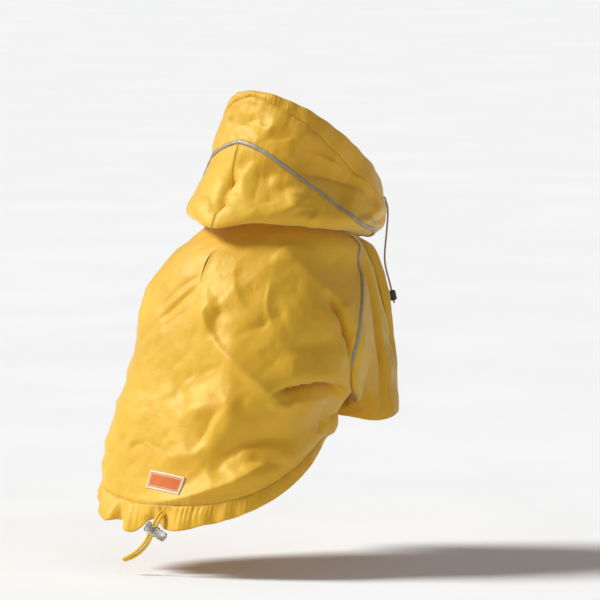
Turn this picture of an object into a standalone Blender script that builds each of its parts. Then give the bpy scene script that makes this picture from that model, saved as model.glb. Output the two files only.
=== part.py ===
"""Hooded dog raincoat with raglan sleeves, as worn: a hollow garment on a sitting figure.

Frame: the origin is the middle of the neck opening, the chest faces -Y, the wearer's right is -X and
+Z is up. The tables give places in millimetres as forward (-Y), side (the wearer's right, -X) and
height (+Z). The body and the hood are lofts through sections. A section is an oval between a point at
the back and a point at the front. An angle round it is 0 at the chest, 90 at the wearer's right and
180 at the centre back. A row is a section's number in its table, and may be a fraction.
"""

import bmesh
import bpy
import numpy as np
from mathutils import Matrix, Vector

MM = 0.001
CLOTH = 1.5  # wall of one layer of cloth, mm
CASING_CLOTH = 1.8  # wall of a folded casing
SEAM_GAP = 0.3  # between two pieces at a seam
WALL_LEAN = 0.12  # how far a wall's edge may lean over its seam
CASING_LEAN = 0.4  # the same where two pieces meet at a steeper angle

# Body sections, neck to hem:
# back forward, back height, front forward, front height, half width, boxiness, front narrowing, sway
BODY = (
    (-64, 8, 62, -14, 64, 0.00, 0.00, 0),
    (-84, -8, 88, -26, 84, 0.00, 0.00, 0),
    (-103, -25, 90, -42, 90, 0.01, 0.00, -4),
    (-117, -49, 90, -60, 103, 0.02, 0.00, -6),
    (-128, -79, 90, -84, 114, 0.03, 0.02, -4),
    (-138, -109, 90, -106, 116, 0.03, 0.10, 0),
    (-148, -141, 78, -127, 119, 0.03, 0.45, 0),
    (-158, -173, 52, -143, 119, 0.04, 0.65, -3),
    (-167, -205, 30, -152, 120, 0.04, 0.66, -6),
    (-175, -233, 18, -158, 122, 0.04, 0.48, -7),
    (-181, -255, 10, -162, 115, 0.03, 0.36, -6),
    (-187, -275, 8, -167, 118, 0.02, 0.30, -6),
)
CASING_ROW = 10.0
HEM_ROW = 11.0

# Hood sections, neck seam to face opening, with the body table's columns
HOOD = (
    (-65.5, 9.6, 63.5, -12.4, 65.5, 0.00, 0.00, 0),
    (-84, 7.5, 82, -17.5, 78, 0.00, 0.00, 0),
    (-97, 10, 95, -13, 87, 0.00, 0.00, 0),
    (-97, 20, 99, -8, 91, 0.00, 0.00, 0),
    (-88, 31, 101, -3, 88, 0.00, 0.00, 0),
    (-76, 50, 102, 1, 84, 0.00, 0.00, 0),
    (-66, 81, 103, 5, 78, 0.00, 0.00, 0),
    (-58, 104, 104, 8, 73, 0.00, 0.00, 0),
    (-48, 127, 105, 12, 69, 0.00, 0.00, 0),
)
BRIM_ROW = 7.0
FACE_ROW = 8.0

# Arched seam over the hood, centre back to the neck seam at the throat: angle, row
HOOD_SEAM = (
    (180, 5.95),
    (164, 5.80),
    (146, 5.45),
    (128, 5.00),
    (112, 4.40),
    (98, 3.45),
    (84, 2.50),
    (66, 1.90),
    (50, 1.10),
    (38, 0.30),
)
THROAT_STEP = 0.6  # degrees between the seam's end and the throat edge of the front piece

# Right armhole on the body, from the neck at the back, under the arm, to the neck at the front:
# angle, row, turn on the cuff, lean of the sleeve away from the body, pull of the sleeve's start
ARMHOLE = (
    (86, 0.0, 90, 0, 90),
    (84, 1.6, 105, 0, 80),
    (82, 2.6, 118, 0, 70),
    (88, 3.6, 131, 5, 65),
    (92, 4.5, 145, 20, 65),
    (93, 5.4, 160, 45, 65),
    (90, 6.2, 180, 75, 70),
    (78, 6.6, 205, 90, 80),
    (62, 6.5, 240, 90, 65),
    (44, 6.0, 295, 55, 35),
    (34, 5.0, 335, 15, 55),
    (32, 3.5, 363, 0, 80),
    (34, 1.8, 384, 0, 100),
    (40, 0.0, 400, 0, 90),
)
DOWN_FLOW = 1.2  # how far the sleeve's start turns from square to the armhole to down the body
START_PULL_LIMIT = 0.9  # pulls of the sleeve's start and of its cuff, in lengths of the sleeve
CUFF_PULL = 0.4
UNDERARM = 8  # the armhole row where the side seam starts
MIDDLE_ROW = 7.8  # where the grid line through the underarm meets a panel's middle
SIDE_SEAM = ((62, 6.5), (66, 8.0), (70, 10.0))  # angle, row

CUFF_FORWARD = 36
CUFF_SIDE = 73
CUFF_HEIGHT = -184
CUFF_RADIUS = 28

# Folds on the body. Depth is outward. The left and right widths are as seen from outside, walking
# along the path: depth, left width, right width, path of (angle, row)
BODY_FOLDS = (
    # long diagonal fold from the leash slit to the flank
    (5, 26, 9, ((175, 2.9), (173, 3.9), (168, 4.7), (154, 5.5), (138, 6.2), (127, 6.7))),
    # groove beside the armhole
    (-5, 9, 8, ((110, 3.3), (104, 4.2), (99, 5.0), (97, 5.6))),
    # edge of the flank bulge above the thigh pocket
    (10, 24, 9, ((138, 6.1), (127, 5.85), (116, 5.85), (106, 6.0), (98, 6.2))),
    # thigh pocket
    (-9, 9, 10, ((136, 6.4), (126, 6.35), (115, 6.4), (104, 6.6))),
    # thigh edge below the pocket
    (5, 10, 22, ((131, 6.8), (119, 6.65), (104, 6.75), (90, 7.0))),
    # shoulder ridge from the neck to the armhole
    (4, 16, 20, ((156, 1.0), (135, 1.65), (119, 2.55), (108, 3.25), (101, 3.95))),
    # shallow hollows on the flank
    (-4, 10, 12, ((160, 2.5), (155, 3.3), (150, 4.2))),
    (-3, 14, 8, ((146, 2.9), (142, 3.6), (143, 4.2))),
    (-3, 12, 10, ((158, 4.7), (150, 4.35), (142, 4.05), (130, 3.9))),
    (-4, 14, 12, ((140, 6.0), (137, 5.6), (129, 5.1), (116, 4.9))),
    # ridge above the hem casing
    (6, 16, 10, ((192, 9.7), (171, 9.8), (156, 9.4), (141, 9.0), (132, 8.5))),
    # hollow on the haunch
    (-8, 18, 14, ((156, 8.9), (152, 8.4), (145, 8.0), (132, 7.7), (118, 7.6))),
    (-5, 10, 12, ((146, 8.8), (136, 8.3), (126, 8.5), (114, 9.0))),
    # soft ridges over the lower back
    (4, 20, 16, ((140, 6.9), (152, 7.2), (161, 7.8), (171, 8.1), (190, 8.2))),
    (-3, 9, 12, ((157, 6.4), (161, 7.1), (163, 7.7), (170, 8.1))),
    (-3, 9, 9, ((158, 5.5), (167, 5.9), (176, 6.2), (186, 6.5))),
    (-3, 8, 10, ((182, 3.1), (187, 3.5), (193, 3.9), (202, 4.3))),
    (3, 16, 12, ((178, 7.0), (162, 6.65), (146, 6.55))),
)
FAR_SIDE = 0.8  # the same folds on the wearer's left are a little shallower
FAR_SIDE_SHIFT = 0.25  # and lie a little lower, in rows

# Folds on the hood, with the body folds' columns
HOOD_FOLDS = (
    # crease at the centre back
    (-5, 9, 9, ((182, 5.2), (180, 4.3), (181, 3.4), (180, 2.8))),
    # hollow in front of the piping
    (-7, 16, 14, ((140, 6.2), (124, 5.8), (109, 5.2), (96, 4.6))),
    (4, 12, 12, ((165, 6.6), (150, 6.8), (132, 6.7), (116, 6.4))),
    # soft folds below the piping
    (-4, 10, 14, ((165, 5.4), (160, 4.4), (154, 3.4))),
    (4, 12, 10, ((146, 4.7), (142, 3.8), (138, 2.9))),
    (-3, 10, 10, ((130, 4.2), (124, 3.4), (120, 2.8))),
    # fold above the throat
    (-6, 7, 9, ((78, 3.3), (62, 3.6), (46, 4.2))),
    (4, 9, 7, ((82, 4.0), (64, 4.5), (46, 5.2))),
    # fold below the crown
    (-4, 9, 10, ((206, 6.9), (192, 6.7), (178, 6.6), (166, 6.9))),
)

# Gathers: number round the edge, depth at the seam, depth at the free edge
HEM_GATHERS = (30, 0.5, 2.0)
BRIM_GATHERS = (24, 0.5, 1.8)
# Lobes of the hem beside the cord lock: angle, drop, flare, half width in degrees
HEM_LOBES = (
    (180, -9, -4, 5),
    (192, 8, 2, 7),
    (209, 6, 6, 9),
    (201, -5, -5, 4),
    (165, 4, 3, 8),
)

# Grid cells along each stretch
ARM_BACK_CELLS = 15
ARM_FRONT_CELLS = 10
ARM_NECK_CELLS = 4
SIDE_CELLS = 9
BACK_HALF_CELLS = 15
CHEST_HALF_CELLS = 6
SLEEVE_CELLS = 10
HEM_CELLS = (138, 2)
HOOD_ARCH_CELLS = 15
HOOD_THROAT_CELLS = 6
HOOD_BACK_CELLS = 7
HOOD_FRONT_CELLS = 7
BRIM_CELLS = (108, 2)

# Leash slit at the centre back
SLIT_ROWS = (1.75, 2.95)
SLIT_HALF_ANGLE = 0.6

PIPING_WIDTH = 3.8
PIPING_CLOTH = 1.4
PIPING_GAP = 0.85  # between the piping and the seam below it
LABEL_GAP = 0.45  # between the label and the panel below it
RAGLAN_PIPING_CELLS = (3, 10)  # of the armhole's back cells
HOOD_PIPING_SPARE = 2  # cells of the arched seam left bare at each end

LABEL_PLACE = (176, 9.03)  # angle, row
LABEL_SIZE = (45.0, 17.5)
LABEL_TILT = 11
LABEL_CLOTH = 1.0
LABEL_CELLS = (14, 6)

ROUND_SIDES = 24
CORD_STEP = 2.5  # diameters between two points of a cord

# Hood drawcord on the wearer's right: forward, side, height
HOOD_CORD = (
    (83.6, 51.2, 22.1),
    (85.4, 52.7, 20.6),
    (87.0, 53, 16.5),
    (89.5, 53, 8),
    (91, 50, -15),
    (91, 48, -38),
    (95.5, 48, -54),
    (100.4, 48, -66.5),
    (103, 48, -74),
    (105.6, 48, -81.5),
)
HOOD_CORD_DIAMETER = 1.8
HOOD_LOCK_PLACE = (103, 48, -74)
HOOD_LOCK_AXIS = (0.33, 0.0, -0.94)
# along the lock, radius
HOOD_LOCK = ((4.5, 1.3), (4.5, 2.9), (3.9, 3.5), (-3.9, 3.5), (-4.5, 2.9), (-4.5, 1.3))

# Two ends of the hem's elastic cord, through the cord lock: forward, side, height
HEM_CORD_A = (
    (-185.3, 6.0, -260.0),
    (-189.3, 6.4, -261.3),
    (-192.6, 5.4, -265.5),
    (-193.4, 3.6, -269.4),
    (-193.4, 0.0, -275.4),
    (-193.4, -2.8, -280.1),
    (-194, -7, -287.5),
    (-196, -14.5, -296),
    (-199.5, -21, -301.5),
    (-203, -27.3, -305.5),
)
HEM_CORD_B = (
    (-185.8, 10.0, -261.2),
    (-189.3, 10.0, -262.9),
    (-192.0, 8.8, -266.8),
    (-192.6, 6.4, -271.0),
    (-192.6, 2.8, -277.0),
    (-192.6, -0.1, -281.7),
    (-192.3, -5.1, -289.8),
    (-193.9, -13, -298.3),
    (-196.9, -20.7, -303.8),
    (-200, -28.2, -306.8),
)
HEM_CORD_DIAMETER = 3.0
HEM_LOCK_PLACE = (-193, 1.4, -276.2)
HEM_LOCK_AXIS = (0.25, 0.83, -0.5)
# along the lock, radius
HEM_BARREL = (
    (-5.5, 0.0),
    (-5.5, 3.8),
    (5.5, 3.8),
    (5.5, 4.7),
    (4.8, 5.3),
    (-6.4, 5.3),
    (-7.2, 4.4),
    (-7.2, 0.0),
)
HEM_PLUNGER = (
    (14.2, 0.0),
    (14.2, 3.7),
    (13.4, 4.5),
    (7.6, 4.8),
    (7.0, 4.2),
    (7.0, 3.4),
    (-5.1, 3.4),
    (-5.1, 0.0),
)
HEM_LOCK_SLOT = (16.0, 3.8, 7.2)  # along the cords, across them, along the lock


def spline(rows, at):
    """Natural cubic spline through the rows of a table, read at fractional row numbers."""
    values = np.array(rows, float)
    count = len(values)
    system = np.zeros((count, count))
    bend = np.zeros_like(values)
    system[0, 0] = system[-1, -1] = 1.0
    for i in range(1, count - 1):
        system[i, i - 1 : i + 2] = (1.0, 4.0, 1.0)
        bend[i] = 6.0 * (values[i - 1] - 2.0 * values[i] + values[i + 1])
    bend = np.linalg.solve(system, bend)
    at = np.asarray(at, float)
    low = np.clip(np.floor(at).astype(int), 0, count - 2)
    b = (at - low)[..., None]
    a = 1.0 - b
    curve = (a**3 - a) * bend[low] / 6.0 + (b**3 - b) * bend[low + 1] / 6.0
    return a * values[low] + b * values[low + 1] + curve


def unit(vectors):
    return vectors / np.linalg.norm(vectors, axis=-1, keepdims=True)


def ease(t):
    """0 to 1 with level ends."""
    t = np.clip(t, 0.0, 1.0)
    return t * t * (3.0 - 2.0 * t)


def oval(section, angle):
    """Points on a section: an oval from its back point to its front point."""
    back_f, back_h, front_f, front_h, half_width, boxiness, narrowing, sway = np.moveaxis(section, -1, 0)
    turn = np.radians(angle)
    along = (np.cos(turn) - boxiness * np.cos(3 * turn)) / (1 - boxiness)
    across = (np.sin(turn) + boxiness * np.sin(3 * turn)) / (1 - boxiness)
    across = across * (1 - narrowing * ((1 + np.cos(turn)) / 2) ** 2)
    forward = (back_f + front_f) / 2 + (front_f - back_f) / 2 * along
    height = (back_h + front_h) / 2 + (front_h - back_h) / 2 * along
    return np.stack([-(sway + half_width * across), -forward, height], -1)


def plain(sections, angle, row):
    """Middle surface through a table of sections, before its folds."""
    angle, row = np.broadcast_arrays(np.asarray(angle, float), np.asarray(row, float))
    return oval(spline(sections, row), angle)


def outward(sections, angle, row):
    """Outward normal of the plain surface."""
    round_it = plain(sections, angle + 0.5, row) - plain(sections, angle - 0.5, row)
    down_it = plain(sections, angle, row + 0.02) - plain(sections, angle, row - 0.02)
    side = -1.0 if sections is HOOD else 1.0
    return side * unit(np.cross(round_it, down_it))


def fold_depth(sections, folds, points, normals):
    """Sum of the folds at points of a plain surface, in mm outward."""
    total = np.zeros(points.shape[:-1])
    for depth, left_width, right_width, path in folds:
        steps = np.linspace(0, len(path) - 1, 8 * (len(path) - 1) + 1)
        places = spline(path, steps)
        line = plain(sections, places[:, 0], places[:, 1])
        starts, runs = line[:-1], np.diff(line, axis=0)
        away = points[..., None, :] - starts
        share = np.clip((away * runs).sum(-1) / (runs**2).sum(-1), 0.0, 1.0)
        gap = away - share[..., None] * runs
        distance = np.linalg.norm(gap, axis=-1)
        nearest = distance.argmin(-1)[..., None]
        reach = np.take_along_axis(distance, nearest, -1)[..., 0]
        along = (nearest + np.take_along_axis(share, nearest, -1))[..., 0] / len(runs)
        side_way = np.cross(normals, runs[nearest[..., 0]])
        left = (np.take_along_axis(gap, nearest[..., None], -2)[..., 0, :] * side_way).sum(-1) > 0
        width = np.where(left, left_width, right_width)
        fade = ease(np.minimum(along, 1.0 - along) / 0.25)
        total += depth * fade * np.exp(-((reach / width) ** 2))
    return total


def other_side(folds):
    """The folds again on the wearer's left."""
    return tuple(
        (FAR_SIDE * depth, right, left, tuple((360 - angle, row + FAR_SIDE_SHIFT) for angle, row in path))
        for depth, left, right, path in folds
        if all(angle < 172 for angle, _ in path)
    )


ALL_BODY_FOLDS = BODY_FOLDS + other_side(BODY_FOLDS)
ALL_HOOD_FOLDS = HOOD_FOLDS + other_side(HOOD_FOLDS)


def body(angle, row):
    """Middle surface of the body with its folds."""
    points = plain(BODY, angle, row)
    normals = outward(BODY, angle, row)
    depth = fold_depth(BODY, ALL_BODY_FOLDS, points, normals) * ease(np.asarray(row) / 1.5)
    return points + normals * depth[..., None]


def hood(angle, row):
    """Middle surface of the hood with its folds and the drooping corner at the centre back."""
    points = plain(HOOD, angle, row)
    normals = outward(HOOD, angle, row)
    depth = fold_depth(HOOD, ALL_HOOD_FOLDS, points, normals) * ease(np.asarray(row) / 2.0)
    corner = np.exp(-(((angle - 180) / 20) ** 2)) * np.exp(-(((row - 2.1) / 0.8) ** 2))
    droop = corner[..., None] * np.array([0.0, 7.0, -10.0])
    return points + normals * depth[..., None] + droop


def square_to(edge, beside):
    """Directions square to an edge and towards the points beside it."""
    along = unit(np.gradient(edge, axis=0))
    inward = beside - edge
    return unit(inward - (inward * along).sum(-1, keepdims=True) * along)


def pulled_in(points, wrap, lean):
    """Move the free edges of a grid in by half a seam gap, and by how far their walls lean out."""
    moved = points.copy()
    pull = SEAM_GAP / 2 + lean
    moved[0] += pull * square_to(points[0], points[1])
    moved[-1] += pull * square_to(points[-1], points[-2])
    if wrap:
        moved[:, -1] = moved[:, 0]
    else:
        moved[:, 0] += pull * square_to(points[:, 0], points[:, 1])
        moved[:, -1] += pull * square_to(points[:, -1], points[:, -2])
    return moved


def even_steps(table, cells, sections, start, end):
    """Places along a table of (angle, row), evenly spaced on the surface."""
    fine = spline(table, np.linspace(start, end, 400))
    line = plain(sections, fine[:, 0], fine[:, 1])
    travel = np.concatenate([[0.0], np.cumsum(np.linalg.norm(np.diff(line, axis=0), axis=1))])
    wanted = np.linspace(0, travel[-1], cells + 1)
    return np.stack([np.interp(wanted, travel, fine[:, k]) for k in range(fine.shape[1])], -1)


def armhole_back():
    return even_steps(ARMHOLE, ARM_BACK_CELLS, BODY, 0, UNDERARM)


def armhole_front():
    return even_steps(ARMHOLE, ARM_FRONT_CELLS, BODY, UNDERARM, len(ARMHOLE) - 1)


def side_seam():
    return even_steps(SIDE_SEAM, SIDE_CELLS, BODY, 0, len(SIDE_SEAM) - 1)


def half_panel(edge, centre_angle, centre_edge, cells):
    """Angles and rows from a seam to the middle of a panel: rows of the grid run across it."""
    upper = ((centre_angle, 0.0), (centre_angle, MIDDLE_ROW))
    lower = ((centre_angle, MIDDLE_ROW), (centre_angle, CASING_ROW))
    arm_cells = len(edge) - 1 - SIDE_CELLS
    middle = even_steps(upper, arm_cells, BODY, 0, 1)[:, 1]
    middle = np.concatenate([middle, even_steps(lower, SIDE_CELLS, BODY, 0, 1)[1:, 1]])
    share = np.linspace(0, 1, cells + 1)[None, :]
    angles = edge[:, :1] + (centre_edge - edge[:, :1]) * share
    rows = edge[:, 1:2] + (middle[:, None] - edge[:, 1:2]) * share * (2 - share)
    return angles, rows


def back_grid():
    """Angles and rows of the back panel, from the right seam to the left one."""
    edge = np.concatenate([armhole_back()[:, :2], side_seam()[1:]])
    angles, rows = half_panel(edge, 180, 180 - SLIT_HALF_ANGLE, BACK_HALF_CELLS)
    angles = np.concatenate([angles, 360 - angles[:, ::-1]], 1)
    rows = np.concatenate([rows, rows[:, ::-1]], 1)
    return angles, rows


def chest_grid():
    """Angles and rows of the chest panel, from the left seam to the right one."""
    edge = np.concatenate([armhole_front()[::-1, :2], side_seam()[1:]])
    angles, rows = half_panel(edge, 0, 0, CHEST_HALF_CELLS)
    angles = np.concatenate([-angles, angles[:, -2::-1]], 1)
    rows = np.concatenate([rows, rows[:, -2::-1]], 1)
    return angles, rows


def sleeve_grid(side):
    """Points of the right (1) or left (-1) sleeve: rows from armhole to cuff, columns round it."""
    neck = np.linspace(0, 1, ARM_NECK_CELLS + 1)[1:-1, None]
    last, first = np.array(ARMHOLE[-1], float), np.array(ARMHOLE[0], float) + (0, 0, 360, 0, 0)
    loop = np.concatenate([armhole_back(), armhole_front()[1:], last + (first - last) * neck])
    angle, row, turn, lean, pull = loop.T
    angle = (side * angle) % 360
    points = body(angle, row)
    normals = outward(BODY, angle, row)
    round_it = np.roll(points, -1, 0) - np.roll(points, 1, 0)
    into = side * unit(np.cross(normals, round_it))
    down = unit(plain(BODY, angle, row + 0.05) - plain(BODY, angle, row))
    lean = np.radians(np.clip(lean, 0, 90))[:, None]
    flow = unit(into + DOWN_FLOW * np.cos(lean) * down)
    leave = np.cos(lean) * flow + np.sin(lean) * normals
    start = points + into * (SEAM_GAP / 2 + CASING_LEAN + CLOTH / 2 * np.sin(lean))
    turn = np.radians(turn)
    cuff = np.stack(
        [
            -side * (CUFF_SIDE + CUFF_RADIUS * np.sin(turn)),
            -(CUFF_FORWARD + CUFF_RADIUS * np.cos(turn)),
            np.full_like(turn, CUFF_HEIGHT),
        ],
        -1,
    )
    reach = np.linalg.norm(cuff - start, axis=1, keepdims=True)
    t = np.linspace(0, 1, SLEEVE_CELLS + 1)[:, None, None]
    start_pull = np.minimum(pull[:, None], START_PULL_LIMIT * reach) * leave
    end_pull = CUFF_PULL * reach * np.array([0.0, 0.0, -1.0])
    from_start = (2 * t**3 - 3 * t**2 + 1) * start + (t**3 - 2 * t**2 + t) * start_pull
    to_end = (3 * t**2 - 2 * t**3) * cuff + (t**3 - t**2) * end_pull
    return from_start + to_end


def wave(angle, count, depth):
    """Uneven gathers round an edge."""
    turn = np.radians(angle)
    phase = count * turn + 1.3 * np.sin(3 * turn) + 0.7 * np.sin(7 * turn + 1)
    return depth * (0.7 + 0.3 * np.cos(2 * turn)) * np.cos(phase)


def gathered_band(surface, sections, start_row, end_row, gathers, cells, lobes, seam):
    """Grid of a casing band, with gathers that deepen to its free edge.

    The seam is the angles and points of the edge that the band is sewn to.
    """
    count, seam_depth, edge_depth = gathers
    angle = np.linspace(0, 360, cells[0] + 1)[None, :]
    share = np.linspace(0, 1, cells[1] + 1)[:, None]
    row = start_row + (end_row - start_row) * share
    angle, row = np.broadcast_arrays(angle, row)
    points = surface(angle, row)
    normals = outward(sections, angle, row)
    depth = wave(angle, count, 1.0) * (seam_depth + (edge_depth - seam_depth) * share)
    down = unit(plain(sections, angle, row) - plain(sections, angle, row - 0.1))
    for lobe_angle, drop, flare, half_width in lobes:
        near = np.exp(-(((angle - lobe_angle) / half_width) ** 2)) * share
        points = points + down * (drop * near)[..., None]
        depth = depth + flare * near
    points = points + normals * depth[..., None]
    seam_angle, seam_points = seam
    for axis in range(3):
        points[0, :, axis] = np.interp(angle[0], seam_angle, seam_points[:, axis])
    return points


def hem_seam():
    """Angles and points of the lower edges of the chest and back panels, from 0 to 360."""
    chest_angle, chest_row = (values[-1] for values in chest_grid())
    back_angle, back_row = (values[-1] for values in back_grid())
    front = CHEST_HALF_CELLS
    angle = np.concatenate([chest_angle[front:], back_angle[1:-1], 360 + chest_angle[: front + 1]])
    row = np.concatenate([chest_row[front:], back_row[1:-1], chest_row[: front + 1]])
    return angle, body(angle % 360, row)


def brim_seam(angle, points):
    """Angles and points of the hood front's upper edge, from 0 to 360."""
    order = np.argsort(angle[:-1] % 360)
    angle, points = (angle[:-1] % 360)[order], points[:-1][order]
    angle = np.concatenate([angle[-1:] - 360, angle, angle[:1] + 360])
    return angle, np.concatenate([points[-1:], points, points[:1]])


def hood_arch():
    """Right and left halves of the arched seam, from the centre back and to it: angle, row."""
    right = even_steps(HOOD_SEAM, HOOD_ARCH_CELLS, HOOD, 0, len(HOOD_SEAM) - 1)
    left = right[::-1] * (-1, 1) + (360, 0)
    return right, left


def hood_back_grid(edge):
    """Points of a lower back piece of the hood, from the neck seam to the arched seam."""
    share = np.linspace(0, 1, HOOD_BACK_CELLS + 1)[:, None]
    return hood(edge[None, :, 0] + 0 * share, edge[None, :, 1] * share)


def hood_front_grid(right, left):
    """Points of the hood's front piece, from the arched seam and the throat to the brim."""
    throat_end = right[-1, 0] - THROAT_STEP
    throat = np.linspace(throat_end, -throat_end, HOOD_THROAT_CELLS + 1)
    throat = np.stack([throat, 0 * throat], -1)
    low_edge = np.concatenate([right, throat, left - (360, 0)])
    brim = even_steps(((180, BRIM_ROW), (-180, BRIM_ROW)), len(low_edge) - 1, HOOD, 0, 1)
    share = np.linspace(0, 1, HOOD_FRONT_CELLS + 1)[:, None, None]
    places = low_edge + (brim - low_edge) * share
    return hood(places[..., 0] % 360, places[..., 1]), brim[:, 0]


def on_grid(points, row, column):
    """Points between the points of a grid, at fractional rows and columns."""
    top = np.clip(np.floor(row).astype(int), 0, points.shape[0] - 2)
    left = np.clip(np.floor(column).astype(int), 0, points.shape[1] - 2)
    down, across = (row - top)[..., None], (column - left)[..., None]
    upper = points[top, left] * (1 - across) + points[top, left + 1] * across
    lower = points[top + 1, left] * (1 - across) + points[top + 1, left + 1] * across
    return upper * (1 - down) + lower * down


def laid_on(points, centre, across, down, width, height):
    """Points of a grid's surface that lie at given distances across and down from a centre."""
    nearest = np.linalg.norm(points - centre, axis=-1).argmin()
    row, column = (np.full(width.shape, float(k)) for k in divmod(nearest, points.shape[1]))
    for _ in range(12):
        offset = on_grid(points, row, column) - centre
        by_row = on_grid(points, row + 0.5, column) - on_grid(points, row - 0.5, column)
        by_column = on_grid(points, row, column + 0.5) - on_grid(points, row, column - 0.5)
        more_across = width - offset @ across
        more_down = height - offset @ down
        scale = (by_row @ across) * (by_column @ down) - (by_row @ down) * (by_column @ across)
        row = row + (more_across * (by_column @ down) - more_down * (by_column @ across)) / scale
        column = column + (more_down * (by_row @ across) - more_across * (by_row @ down)) / scale
    return on_grid(points, row, column)


def label_grid(panel):
    """Points of the tilted label, laid on the points of the back panel."""
    angle, row = LABEL_PLACE
    centre = body(angle, row)
    normal = outward(BODY, angle, row)
    level = unit(plain(BODY, angle - 1, row) - plain(BODY, angle + 1, row))
    down = np.cross(normal, level) * -1
    tilt = np.radians(LABEL_TILT)
    across = np.cos(tilt) * level + np.sin(tilt) * down
    down = np.cos(tilt) * down - np.sin(tilt) * level
    width, height = np.meshgrid(
        np.linspace(-0.5, 0.5, LABEL_CELLS[0] + 1) * LABEL_SIZE[0],
        np.linspace(-0.5, 0.5, LABEL_CELLS[1] + 1) * LABEL_SIZE[1],
    )
    points = laid_on(panel, centre, across, down, width, height)
    facing = unit(np.cross(np.gradient(points, axis=0), np.gradient(points, axis=1)))
    return points + facing * (CLOTH / 2 + LABEL_GAP + LABEL_CLOTH / 2)


def piping_grid(seam, beside, other_beside):
    """A strip over a seam, from its points and the next points of the piece on each side."""
    one = seam + PIPING_WIDTH / 2 * unit(beside - seam)
    other = seam + PIPING_WIDTH / 2 * unit(other_beside - seam)
    along = np.gradient(seam, axis=0)
    one_up = unit(np.cross(along, seam - one))
    other_up = unit(np.cross(along, other - seam))
    ridge_up = (one_up + other_up) / (1 + (one_up * other_up).sum(-1, keepdims=True))
    rise = CLOTH / 2 + PIPING_GAP + PIPING_CLOTH / 2
    return np.stack([one + rise * one_up, seam + rise * ridge_up, other + rise * other_up], 1)


def material(name, colour, roughness, metallic=0.0):
    """A plain Principled material."""
    made = bpy.data.materials.new(name)
    made.use_nodes = True
    shader = made.node_tree.nodes["Principled BSDF"]
    shader.inputs["Base Color"].default_value = colour
    shader.inputs["Roughness"].default_value = roughness
    shader.inputs["Metallic"].default_value = metallic
    return made


def add_sheet(coat, name, points, look, thickness, wrap=False, holes=()):
    """A cloth piece: a grid of points with a wall of even thickness. Holes are (row, column) cells."""
    rows, columns = points.shape[:2]
    shape = bmesh.new()
    bmesh.ops.create_grid(shape, x_segments=columns - 1, y_segments=rows - 1, size=1.0)
    shape.verts.ensure_lookup_table()
    for vert, place in zip(shape.verts, points.reshape(-1, 3)):
        vert.co = Vector(place * MM)
    shape.faces.ensure_lookup_table()
    cut = [shape.faces[row * (columns - 1) + column] for row, column in holes]
    bmesh.ops.delete(shape, geom=cut, context="FACES")
    if wrap:
        bmesh.ops.remove_doubles(shape, verts=shape.verts, dist=0.00001)
    mesh = bpy.data.meshes.new(name)
    shape.to_mesh(mesh)
    shape.free()
    piece = bpy.data.objects.new(name, mesh)
    coat.objects.link(piece)
    wall = piece.modifiers.new("Wall", "SOLIDIFY")
    wall.thickness = thickness * MM
    wall.offset = 0.0
    mesh.materials.append(look)
    mesh.shade_smooth()
    return piece


def model_place(places):
    """X, Y and Z from forward, side and height."""
    places = np.asarray(places, float)
    return np.stack([-places[..., 1], -places[..., 0], places[..., 2]], -1)


def add_cord(coat, name, table, diameter, look):
    """A round cord through the places of a table."""
    fine = model_place(spline(table, np.linspace(0, len(table) - 1, 400)))
    travel = np.concatenate([[0.0], np.cumsum(np.linalg.norm(np.diff(fine, axis=0), axis=1))])
    count = int(round(travel[-1] / (CORD_STEP * diameter))) + 1
    wanted = np.linspace(0, travel[-1], count)
    path = np.stack([np.interp(wanted, travel, fine[:, k]) for k in range(3)], -1)
    curve = bpy.data.curves.new(name, "CURVE")
    curve.dimensions = "3D"
    curve.bevel_depth = diameter / 2 * MM
    curve.bevel_resolution = 2
    curve.use_fill_caps = True
    line = curve.splines.new("POLY")
    line.points.add(count - 1)
    for point, place in zip(line.points, path):
        point.co = (*(place * MM), 1.0)
    curve.materials.append(look)
    coat.objects.link(bpy.data.objects.new(name, curve))


def set_on_lock(piece, place, axis):
    """Place a piece with its z axis along a cord lock and its x axis along the cords through it."""
    along = Vector(model_place(axis)).normalized()
    cords = along.cross(Vector((0.0, 1.0, 0.0))).normalized()
    across = along.cross(cords)
    piece.location = Vector(model_place(place) * MM)
    piece.rotation_euler = Matrix((cords, across, along)).transposed().to_euler()


def add_turned(coat, name, profile, place, axis, look):
    """A turned solid. The profile is (along, radius): from axis to axis, or closed round a hole."""
    shape = bmesh.new()
    corners = [shape.verts.new((radius * MM, 0.0, along * MM)) for along, radius in profile]
    for corner, after in zip(corners, corners[1:]):
        shape.edges.new((corner, after))
    if profile[0][1] > 0:
        shape.edges.new((corners[-1], corners[0]))
    mesh = bpy.data.meshes.new(name)
    shape.to_mesh(mesh)
    shape.free()
    mesh.materials.append(look)
    piece = bpy.data.objects.new(name, mesh)
    coat.objects.link(piece)
    set_on_lock(piece, place, axis)
    round_it = piece.modifiers.new("Turn", "SCREW")
    round_it.steps = ROUND_SIDES
    round_it.render_steps = ROUND_SIDES
    round_it.use_merge_vertices = True
    round_it.merge_threshold = 0.00001
    return piece


def add_slot(guides, name, size, place, axis):
    """A cutter for the slot that cords pass through: along the cords, across them, along the lock."""
    shape = bmesh.new()
    bmesh.ops.create_cube(shape, size=1.0)
    bmesh.ops.scale(shape, vec=Vector(size) * MM, verts=shape.verts)
    mesh = bpy.data.meshes.new(name)
    shape.to_mesh(mesh)
    shape.free()
    slot = bpy.data.objects.new(name, mesh)
    guides.objects.link(slot)
    set_on_lock(slot, place, axis)
    slot.hide_render = True
    slot.display_type = "WIRE"
    return slot


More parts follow.
